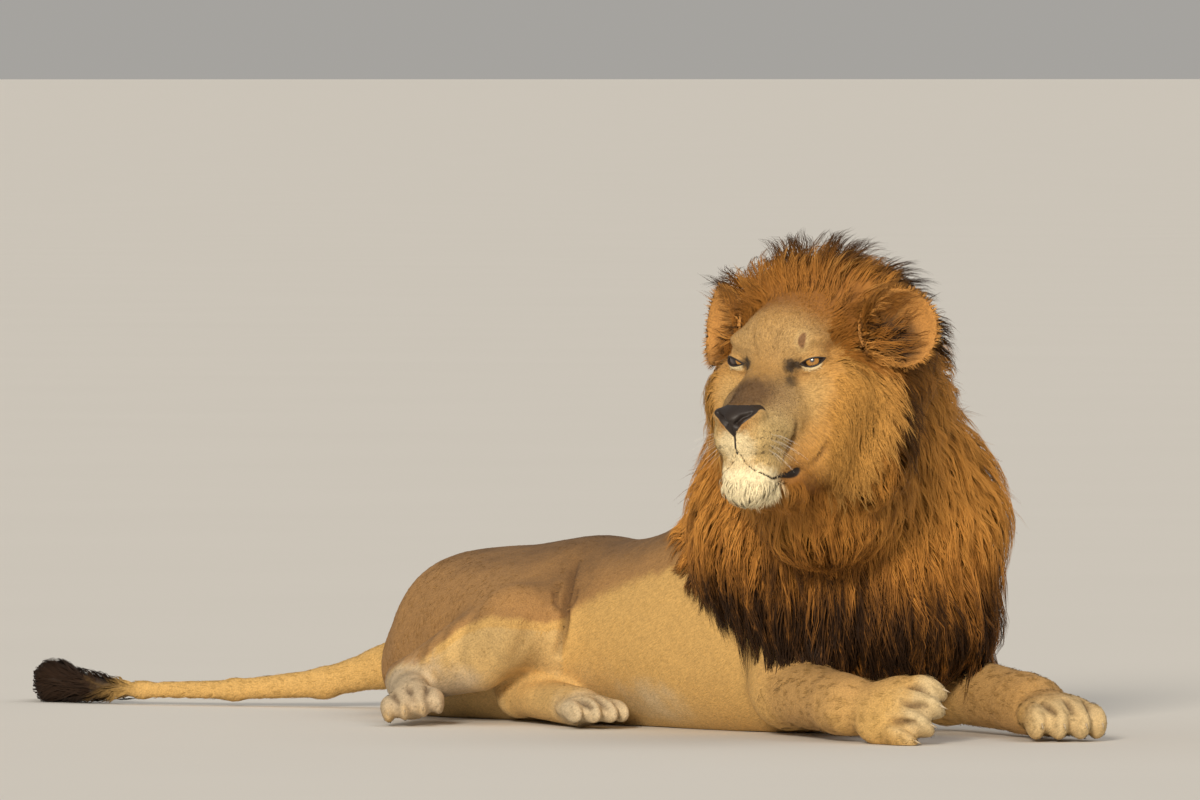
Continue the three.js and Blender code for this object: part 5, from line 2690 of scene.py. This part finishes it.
FORELEGS = {
    "right": Foreleg("right", (450, -92, 210), (432, -112, 66), (668, -190, 52),
                     (850, -176, 44), 52.0, 84.0),
    "left": Foreleg("left", (450, 122, 210), (440, 178, 66), (728, 112, 47),
                    (893, 48, 28), 0.0, 76.0)}
HINDLEGS = {
    "right": Hindleg("right", (-430, -42, 134), (-142, -190, 136), (-330, -230, 60),
                     (-152, -358, 29), (-518, -38, 74), (108, 62), 10.0, 60.0),
    "left": Hindleg("left", (-400, 74, 104), (-78, 132, 82), (-205, -118, 42),
                    (114, -200, 26), (-500, 90, 80), (104, 72), 0.0, 56.0)}


def in_parts(*starts: str) -> Chooser:
    """Chooses the skin of the parts whose names start in one of some ways."""
    return lambda skin, _, areas: skin.body.holds(areas, *starts)


def mane_sector(low: float, high: float) -> Chooser:
    """Chooses the mane's skin between two bearings round the neck, in degrees from +X.

    Args:
        low: the first bearing.
        high: the last bearing.

    Returns:
        The chooser.
    """
    def choose(skin: Skin, middle: Array, areas: Array) -> Array:
        """Which triangles belong.

        Args:
            skin: the skin that hair grows on.
            middle: the middles of its triangles.
            areas: the number of the part that each triangle is on.

        Returns:
            True for each triangle that is chosen.
        """
        bearing = np.degrees(np.arctan2(middle[:, 1] - NECK_Y, middle[:, 0] - NECK_X))
        sector = (bearing - low) % 360.0 < (high - low)
        grown = skin.body.holds(areas, "mane")
        grown |= skin.body.holds(areas, "trunk") & (middle[:, 2] > MANE_LOW)
        return grown & sector & (ahead_of_edge(middle) > -4.0)
    return choose


def face_band(front: bool) -> Chooser:
    """Chooses the skin of the face's front, or of its cheeks and edges.

    Args:
        front: True for the front.

    Returns:
        The chooser.
    """
    def choose(skin: Skin, middle: Array, areas: Array) -> Array:
        """Which triangles belong.

        Args:
            skin: the skin that hair grows on.
            middle: the middles of its triangles.
            areas: the number of the part that each triangle is on.

        Returns:
            A share of hair for each triangle.
        """
        edge = rim_share(middle) > 0.3
        fine = 1.0 + 2.0 * ease(to_head(middle)[:, 0], 10.0, 70.0) if front else 1.0
        return skin.body.holds(areas, "face", "lids", "nose") * (edge != front) * fine
    return choose


def crown_skin(skin: Skin, middle: Array, areas: Array, margin: float = 6.0,
               behind: float = 22.0) -> Array:
    """Chooses the crown's skin, but none in front of an ear's mouth.

    Args:
        skin: the skin that hair grows on.
        middle: the middles of its triangles.
        areas: the number of the part that each triangle is on.
        margin: how far inside the ear's edge its mouth ends.
        behind: how far behind the ear's middle it ends.

    Returns:
        True for each triangle that is chosen.
    """
    chosen = skin.body.holds(areas, "crown")
    for ear in skin.ears:
        out, ahead = ear.across(to_head(middle))
        chosen = chosen & ~((out < ear.radius - margin) & (ahead > -behind))
    return chosen


def near_tufts(skin: Skin, middle: Array, areas: Array, reach: float = 27.0,
               thick_ones: int = 2, thickness: float = 2.4) -> Array:
    """Chooses the spots on the crown where dark tufts stand up, the first ones thicker.

    Args:
        skin: the skin that hair grows on.
        middle: the middles of its triangles.
        areas: the number of the part that each triangle is on.
        reach: how far a tuft spreads.
        thick_ones: how many are thicker.
        thickness: how much thicker they are.

    Returns:
        A share of hair for each triangle.
    """
    places = to_head(middle)
    gaps = [np.linalg.norm(places - np.array(spot), axis=1) for spot in CROWN_TUFTS]
    share = np.where(np.argmin(gaps, axis=0) < thick_ones, thickness, 1.0)
    return crown_skin(skin, middle, areas) * (np.min(gaps, axis=0) < reach) * share


def before_ears(skin: Skin, middle: Array, areas: Array, centre: Vec = (-44.0, 92.0, 52.0),
                radii: Vec = (40.0, 34.0, 58.0)) -> Array:
    """Chooses the skin between the forehead and the ears, whose hair falls over their edges.

    Args:
        skin: the skin that hair grows on.
        middle: the middles of its triangles.
        areas: the number of the part that each triangle is on.
        centre: the middle of an oval on the left that holds the place.
        radii: its half lengths.

    Returns:
        True for each triangle that is chosen.
    """
    places = one_sided(to_head(middle))
    gap = oval_gap(places, centre, radii)
    out, ahead = Ear("left").across(places)
    clear = (out > 46.0) | (ahead < -26.0)
    return skin.body.holds(areas, "crown", "face", "ear") & (gap < 1.0) & clear


def chin(skin: Skin, middle: Array, areas: Array, top: float = -166.0,
         back: float = 42.0) -> Array:
    """Chooses the chin below the mouth.

    Args:
        skin: the skin that hair grows on.
        middle: the middles of its triangles.
        areas: the number of the part that each triangle is on.
        top: where the chin ends above.
        back: where it ends behind.

    Returns:
        True for each triangle that is chosen.
    """
    places = to_head(middle)
    low = (places[:, 2] < top) & (places[:, 0] > back)
    return skin.body.holds(areas, "face") & low


def ear_rim(skin: Skin, middle: Array, areas: Array) -> Array:
    """Chooses the ears' rims.

    Args:
        skin: the skin that hair grows on.
        middle: the middles of its triangles.
        areas: the number of the part that each triangle is on.

    Returns:
        True for each triangle that is chosen.
    """
    chosen = np.zeros(len(middle), dtype=bool)
    places = to_head(middle)
    for ear in skin.ears:
        out, ahead = ear.across(places)
        chosen |= (out > ear.cup_radius - 8.0) & (ahead > -20.0)
    outer = (np.abs(places[:, 1]) > 150.0) | (places[:, 2] > 84.0)
    return chosen & outer & skin.body.holds(areas, "ear")


def outer_mane(skin: Skin, middle: Array, areas: Array) -> Array:
    """Chooses the skin over the crown, behind the ears and down the mane, for wisps.

    Args:
        skin: the skin that hair grows on.
        middle: the middles of its triangles.
        areas: the number of the part that each triangle is on.

    Returns:
        True for each triangle that is chosen.
    """
    places = to_head(middle)
    top = crown_skin(skin, middle, areas) & (places[:, 2] > 10.0)
    side = skin.body.holds(areas, "mane", "crown") & (places[:, 0] < -100.0)
    return top | (side & (places[:, 2] > -230.0) & (places[:, 2] < 60.0))


def ear_cup(inner: bool) -> Chooser:
    """Chooses the skin in the ears' cups, all of it or only the side nearer to the face.

    Args:
        inner: True for only the nearer side.

    Returns:
        The chooser.
    """
    def choose(skin: Skin, middle: Array, areas: Array) -> Array:
        """Which triangles belong.

        Args:
            skin: the skin that hair grows on.
            middle: the middles of its triangles.
            areas: the number of the part that each triangle is on.

        Returns:
            True for each triangle that is chosen.
        """
        chosen = np.zeros(len(middle), dtype=bool)
        places = to_head(middle)
        for ear in skin.ears:
            out, ahead = ear.across(places)
            near = np.abs(places[:, 1]) < ear.spread - 14.0
            chosen |= (out < ear.cup_radius - 2.0) & (ahead > -46.0) & (near | (not inner))
        return chosen & skin.body.holds(areas, "ear")
    return choose


def ear_back(skin: Skin, middle: Array, areas: Array) -> Array:
    """Chooses the ears' rims and backs."""
    return skin.body.holds(areas, "ear") & ~ear_cup(False)(skin, middle, areas)


def leg_skin(skin: Skin, middle: Array, areas: Array, paw_reach: float = 90.0,
             paw_extra: float = 2.0) -> Array:
    """Chooses the legs' skin, with more hair on the paws.

    Args:
        skin: the skin that hair grows on.
        middle: the middles of its triangles.
        areas: the number of the part that each triangle is on.
        paw_reach: how far from its toes a paw ends.
        paw_extra: how much more hair paws have.

    Returns:
        A share of hair for each triangle.
    """
    paws = [between(leg.wrist, leg.toes, 0.7) for leg in FORELEGS.values()]
    paws += [between(leg.hock, leg.toes, 0.75) for leg in HINDLEGS.values()]
    gap = np.min([np.linalg.norm(middle - np.array(paw), axis=1) for paw in paws], axis=0)
    share = 1.0 + paw_extra * (gap < paw_reach)
    return skin.body.holds(areas, "foreleg", "shank", "foot") * share


def rim_share(points: Array, half_width: float = 118.0) -> Array:
    """How near a place is to the edge of the face, from 0 in its middle to 1 at the mane.

    Args:
        points: places in the body's axes.
        half_width: half the face's width.

    Returns:
        One share for each place.
    """
    places = to_head(points)
    aside = np.abs(places[:, 1]) / half_width
    back = ease(-places[:, 0], -10.0, 95.0)
    return ease(np.maximum(aside, back), 0.55, 1.0)


def flat(length: float) -> Callable[[Array], Array]:
    """The same length everywhere."""
    return lambda points: np.full(len(points), length)


def cheek_length(points: Array, least: float = 14.0, growth: float = 70.0) -> Array:
    """Locks that grow longer towards the mane."""
    return least + growth * rim_share(points)


def face_length(points: Array, least: float = 5.0, behind: float = 7.0,
                on_chin: float = 26.0) -> Array:
    """Very short hair that is shortest on the muzzle, and longer on the chin.

    Args:
        points: places in the body's axes.
        least: the length on the muzzle.
        behind: what is added behind it.
        on_chin: what is added on the chin.

    Returns:
        A length in millimetres for each place.
    """
    places = to_head(points)
    chin_share = bell(oval_gap(places, (96.0, 0.0, -196.0), (40.0, 44.0, 26.0)), 1.0)
    return least + behind * ease(-places[:, 0], -90.0, 20.0) + on_chin * chin_share


def foreleg_length(points: Array, least: float = 10.0, growth: float = 14.0) -> Array:
    """Longer hair on the forearms than on the toes."""
    toes = [np.linalg.norm(points - np.array(leg.toes), axis=1) for leg in FORELEGS.values()]
    return least + growth * ease(np.min(toes, axis=0), 50.0, 130.0)


def crown_length(points: Array, least: float = 62.0, growth: float = 60.0,
                 ear_cut: float = 0.42) -> Array:
    """Shorter on the forehead and beside the ears, longer behind.

    Args:
        points: places in the body's axes.
        least: the length on the forehead.
        growth: what is added behind it.
        ear_cut: the share that is cut beside the ears.

    Returns:
        A length in millimetres for each place.
    """
    places = one_sided(to_head(points))
    full = least + growth * ease(-places[:, 0], 50.0, 190.0)
    ear = Ear("left")
    out, ahead = ear.across(places)
    before = ease(-out, -ear.radius - 30.0, -ear.radius) * ease(ahead, -20.0, 10.0)
    return full * (1.0 - ear_cut * before)


def mane_length(points: Array, least: float = 138.0, growth: float = 72.0) -> Array:
    """Longest on the chest, and short of the floor and of the mane's hind edge.

    Args:
        points: places in the body's axes.
        least: the length high up.
        growth: what is added on the chest.

    Returns:
        A length in millimetres for each place.
    """
    full = least + growth * ease(-points[:, 2], -430.0, -170.0)
    low = points[:, 2] < 420.0
    edge = np.where(low, 34.0 + 1.1 * np.maximum(ahead_of_edge(points), 0.0), full)
    return np.minimum(np.minimum(full, edge), 12.0 + 0.8 * points[:, 2])


CROWN_TUFTS = ((-72, -108, 104), (-100, -128, 110), (-100, -24, 144), (-110, 28, 139),
               (-150, 88, 110), (-190, 123, 46))

LONG = {"long": True, "soft": 0.5, "thick": 0.3, "loft": 0.3}
MANE = {**LONG, "spread": 12.0, "rise": (0.35, 1.0), "wave": 8.0, "stray": 0.14, "gather": 0.72}

COATS = (
    Coat("coat_face", "face", face_band(True), 6400, 2, face_length, 0.95, spread=1.8,
         rise=(0.05, 0.3), stray=0.16),
    Coat("coat_chin", "face", chin, 420, 4, flat(27.0), 1.1, 3, spread=4.0, rise=(0.6, 2.6),
         stray=0.22, gather=0.6, soft=0.7, loft=0.2, tint=(0.3, 1.0)),
    Coat("coat_cheeks", "crown", face_band(False), 1350, 4, cheek_length, 1.2, 4, spread=5.0,
         rise=(0.35, 1.35), wave=3.0, gather=0.6, soft=0.75, loft=0.25, tint=(0.2, 0.8)),
    Coat("coat_ears", "crown", ear_back, 1000, 2, flat(8.0), 1.1, rise=(0.0, 0.05), stray=0.3),
    EarLining("ear_rim_hair", "crown", ear_rim, 900, 2, flat(9.0), 0.9, 2, spread=2.0,
              lift=0.7, across=0.1),
    EarLining("ear_lining_down", "crown", ear_cup(False), 700, 2, flat(13.0), 1.0, 3,
              spread=3.0, lift=0.12, across=0.2),
    EarLining("ear_lining_hair", "crown", ear_cup(True), 220, 4, flat(46.0), 0.8, 4,
              spread=6.0, wave=4.0, gather=0.4, tint=(-1.2, 0.9), across=0.8, lift=0.3, **LONG),
    Coat("ear_front_hair", "crown", before_ears, 260, 7, flat(68.0), 0.8, 4, spread=8.0,
         rise=(1.2, 2.6), climb=0.7, wave=3.0, stray=0.14, gather=0.5, tint=(0.4, 1.6), lean=0.35,
         **LONG),
    Coat("mane_crown_hair", "crown", crown_skin, 860, 9, crown_length, 0.95, 4,
         spread=10.0, rise=(0.35, 0.95), wave=5.0, stray=0.16, gather=0.6, **LONG),
    Coat("mane_crown_tufts", "crown", near_tufts, 150, 8, flat(74.0), 0.85, 4, spread=10.0,
         rise=(1.2, 1.85), climb=0.7, stand=1.6, wave=5.0, stray=0.3, gather=0.5,
         tint=(-1.8, -0.6), lean=1.2, **LONG),
    Coat("mane_wisps", "crown", outer_mane, 480, 5, flat(95.0), 0.75, 4, spread=10.0,
         rise=(0.9, 1.65), climb=0.9, wave=5.0, stray=0.25, gather=0.4, tint=(-1.4, 0.0),
         lean=0.25, **LONG),
    Coat("mane_chest_hair", "mane", mane_sector(-80.0, 10.0), 910, 8, mane_length, 1.7, 4, **MANE),
    Coat("mane_right_hair", "mane", mane_sector(-170.0, -80.0), 900, 8, mane_length, 1.8, 4,
         **MANE),
    Coat("mane_left_hair", "mane", mane_sector(10.0, 100.0), 820, 8, mane_length, 1.8, 4, **MANE),
    Coat("mane_nape_hair", "mane", mane_sector(100.0, 190.0), 690, 8, mane_length, 1.9, 4,
         **MANE),
    Coat("coat_trunk", "coat", in_parts("trunk", "upper_arm"), 2600, 2, flat(16.0), 1.3,
         rise=(0.0, 0.03), stray=0.1, spread=4.0),
    Coat("coat_haunches", "rump_coat", in_parts("thigh"), 2300, 2, flat(15.0), 1.3,
         rise=(0.0, 0.03), stray=0.1, spread=4.0),
    Coat("coat_legs", "pale_coat", leg_skin, 3000, 2, flat(9.5), 1.0, spread=2.4,
         rise=(0.02, 0.16), stray=0.14, loft=0.1),
    Coat("coat_forelegs", "coat", in_parts("foreleg"), 900, 4, foreleg_length, 0.8, 3,
         spread=5.0, rise=(0.1, 0.6), stray=0.16, gather=0.3, wave=0.8, soft=1.0, loft=0.04),
    Coat("coat_tail", "coat", in_parts("tail"), 1200, 2, flat(14.0), 1.3, rise=(0.02, 0.14),
         stray=0.12),
    Coat("tail_tuft_hair", "tail_tuft", in_parts("tuft"), 380, 5, flat(80.0), 1.8, 4,
         spread=6.0, rise=(0.6, 1.1), wave=3.0, stray=0.2, loft=0.3))


@dataclass
class Lion:
    """The whole lion."""

    face: Face = field(default_factory=Face)
    ears: list[Ear] = field(default_factory=lambda: [Ear("right"), Ear("left")])

    def body(self) -> Body:
        """Every part of the body, in the order that they join.

        Returns:
            The body.
        """
        parts = Trunk().parts()
        for leg in HINDLEGS.values():
            parts += leg.parts()
        for leg in FORELEGS.values():
            parts += leg.parts()
        parts += Tail().parts() + Mane().parts() + self.face.parts()
        for ear in self.ears:
            parts += ear.parts()
        return Body(parts)

    def focus(self) -> list[Focus]:
        """Where the skin's triangles are finer.

        Returns:
            One focus for each such place.
        """
        rows = [Focus((-20, 0, -50), 190, 6.5), Focus((60, 0, -60), 105, 3.6),
                Focus((120, 0, -104), 48, 2.3), Focus((82, 0, -160), 58, 3.0),
                Focus((-80, -124, 205), 52, 3.4, Space.BODY),
                Focus((-76, -150, 140), 50, 4.4, Space.BODY),
                Focus((-160, -220, 130), 100, 7.0, Space.BODY)]
        for side, sign in SIDES.items():
            rows += [Focus((12, sign * EYE_SPREAD, 2), 25, 1.5),
                     Focus((-92, sign * 152, 50), 56, 4.4)]
            fore, hind = FORELEGS[side], HINDLEGS[side]
            rows += [Focus(between(fore.wrist, fore.toes, 0.7), 80, 4.3, Space.BODY),
                     Focus(between(fore.elbow, fore.wrist, 0.6), 110, 9.0, Space.BODY),
                     Focus(between(hind.hock, hind.toes, 0.8), 70, 5.0, Space.BODY),
                     Focus(between(hind.knee, hind.hock, 0.6), 110, 9.0, Space.BODY)]
        return rows

    def build(self, groups: Groups) -> None:
        """Makes every piece.

        Args:
            groups: the shader groups to colour it with.
        """
        began = time.time()
        gaps = [gap for leg in (*FORELEGS.values(), *HINDLEGS.values()) for gap in leg.paw().gaps()]
        skin = Skin(self.body(), self.face, self.ears, self.focus(), gaps)
        skin.build()
        skin.dress(groups)
        log.info("the skin took %.1f s", time.time() - began)
        for side in SIDES:
            Eye(side).build()
            Claws(f"claws_fore_{side}", FORELEGS[side].paw()).build(groups)
            Claws(f"claws_hind_{side}", HINDLEGS[side].paw(), 15.0, 2.8).build(groups)
        Whiskers().build(skin.body)
        short, long = ShortHair(groups).material(), ManeHair(groups).material()
        for number, coat in enumerate(COATS):
            coat.build(skin, long if coat.long else short, SEED + number)
        log.info("the whole lion took %.1f s", time.time() - began)


# ---- studio --------------------------------------------------------------------------------------

@dataclass(frozen=True)
class Studio:
    """A pale floor, soft light and the camera."""

    camera: Vec = (19.442, -15.316, 0.965)
    turn: float = math.radians(52.0)
    dip: float = math.radians(1.117)
    lens: float = 500.0
    sensor: float = 36.0
    floor_half: float = 3000.0
    view_end: float = 9000.0
    sky: Vec = (0.9, 0.87, 0.82)
    sky_strength: float = 0.42

    def light(self, name: str, bearing: float, height: float, softness: float, power: float,
              colour: Vec) -> None:
        """A soft light from far away.

        Args:
            name: the light's name.
            bearing: degrees to the right of the camera's side of the lion.
            height: degrees above the floor.
            softness: how wide it looks, in degrees.
            power: in watts for each square metre.
            colour: its colour.
        """
        data = bpy.data.lights.new(name, "SUN")
        data.angle, data.energy, data.color = math.radians(softness), power, colour
        new_object(name, data).rotation_euler = (math.radians(90.0 - height), 0.0,
                                                 self.turn + math.radians(bearing))

    def build(self) -> None:
        """Makes the floor, the world, the lights and the camera."""
        half = self.floor_half
        mesh = bpy.data.meshes.new("floor")
        mesh.from_pydata([(-half, -half, 0), (half, -half, 0), (half, half, 0), (-half, half, 0)],
                         [], [(0, 1, 2, 3)])
        mesh.materials.append(PaleFloor().material())
        new_object("floor", mesh)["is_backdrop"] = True
        scene = bpy.context.scene
        world = bpy.data.worlds.new("studio")
        world.use_nodes = True
        sky = world.node_tree.nodes["Background"]
        sky.inputs["Color"].default_value = (*self.sky, 1.0)
        sky.inputs["Strength"].default_value = self.sky_strength
        scene.world = world
        self.light("key", -12.0, 18.0, 12.0, 3.1, (1.0, 0.9, 0.76))
        self.light("top", 60.0, 60.0, 50.0, 0.5, (1.0, 0.96, 0.92))
        data = bpy.data.cameras.new("camera")
        data.lens, data.sensor_width, data.clip_end = self.lens, self.sensor, self.view_end
        camera = new_object("camera", data)
        camera.location = np.array(self.camera) + SHIFT
        camera.rotation_euler = (math.pi / 2 - self.dip, 0.0, self.turn)
        scene.camera = camera
        scene.view_settings.view_transform = "Standard"


def corners(box: tuple) -> list[list[float]]:
    """A box's lowest and highest corners as plain lists."""
    return [[float(value) for value in corner] for corner in box]


def main() -> None:
    """Builds the lion and the studio, and works out how large the lion came out."""
    logging.basicConfig(level=logging.INFO, format="%(name)s: %(message)s", stream=sys.stdout)
    Lion().build(Groups(Palette()))
    Studio().build()
    bpy.context.view_layer.update()
    {"cad": corners(CAD_BOX), "visual": corners(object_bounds())}


if __name__ == "__main__":
    main()
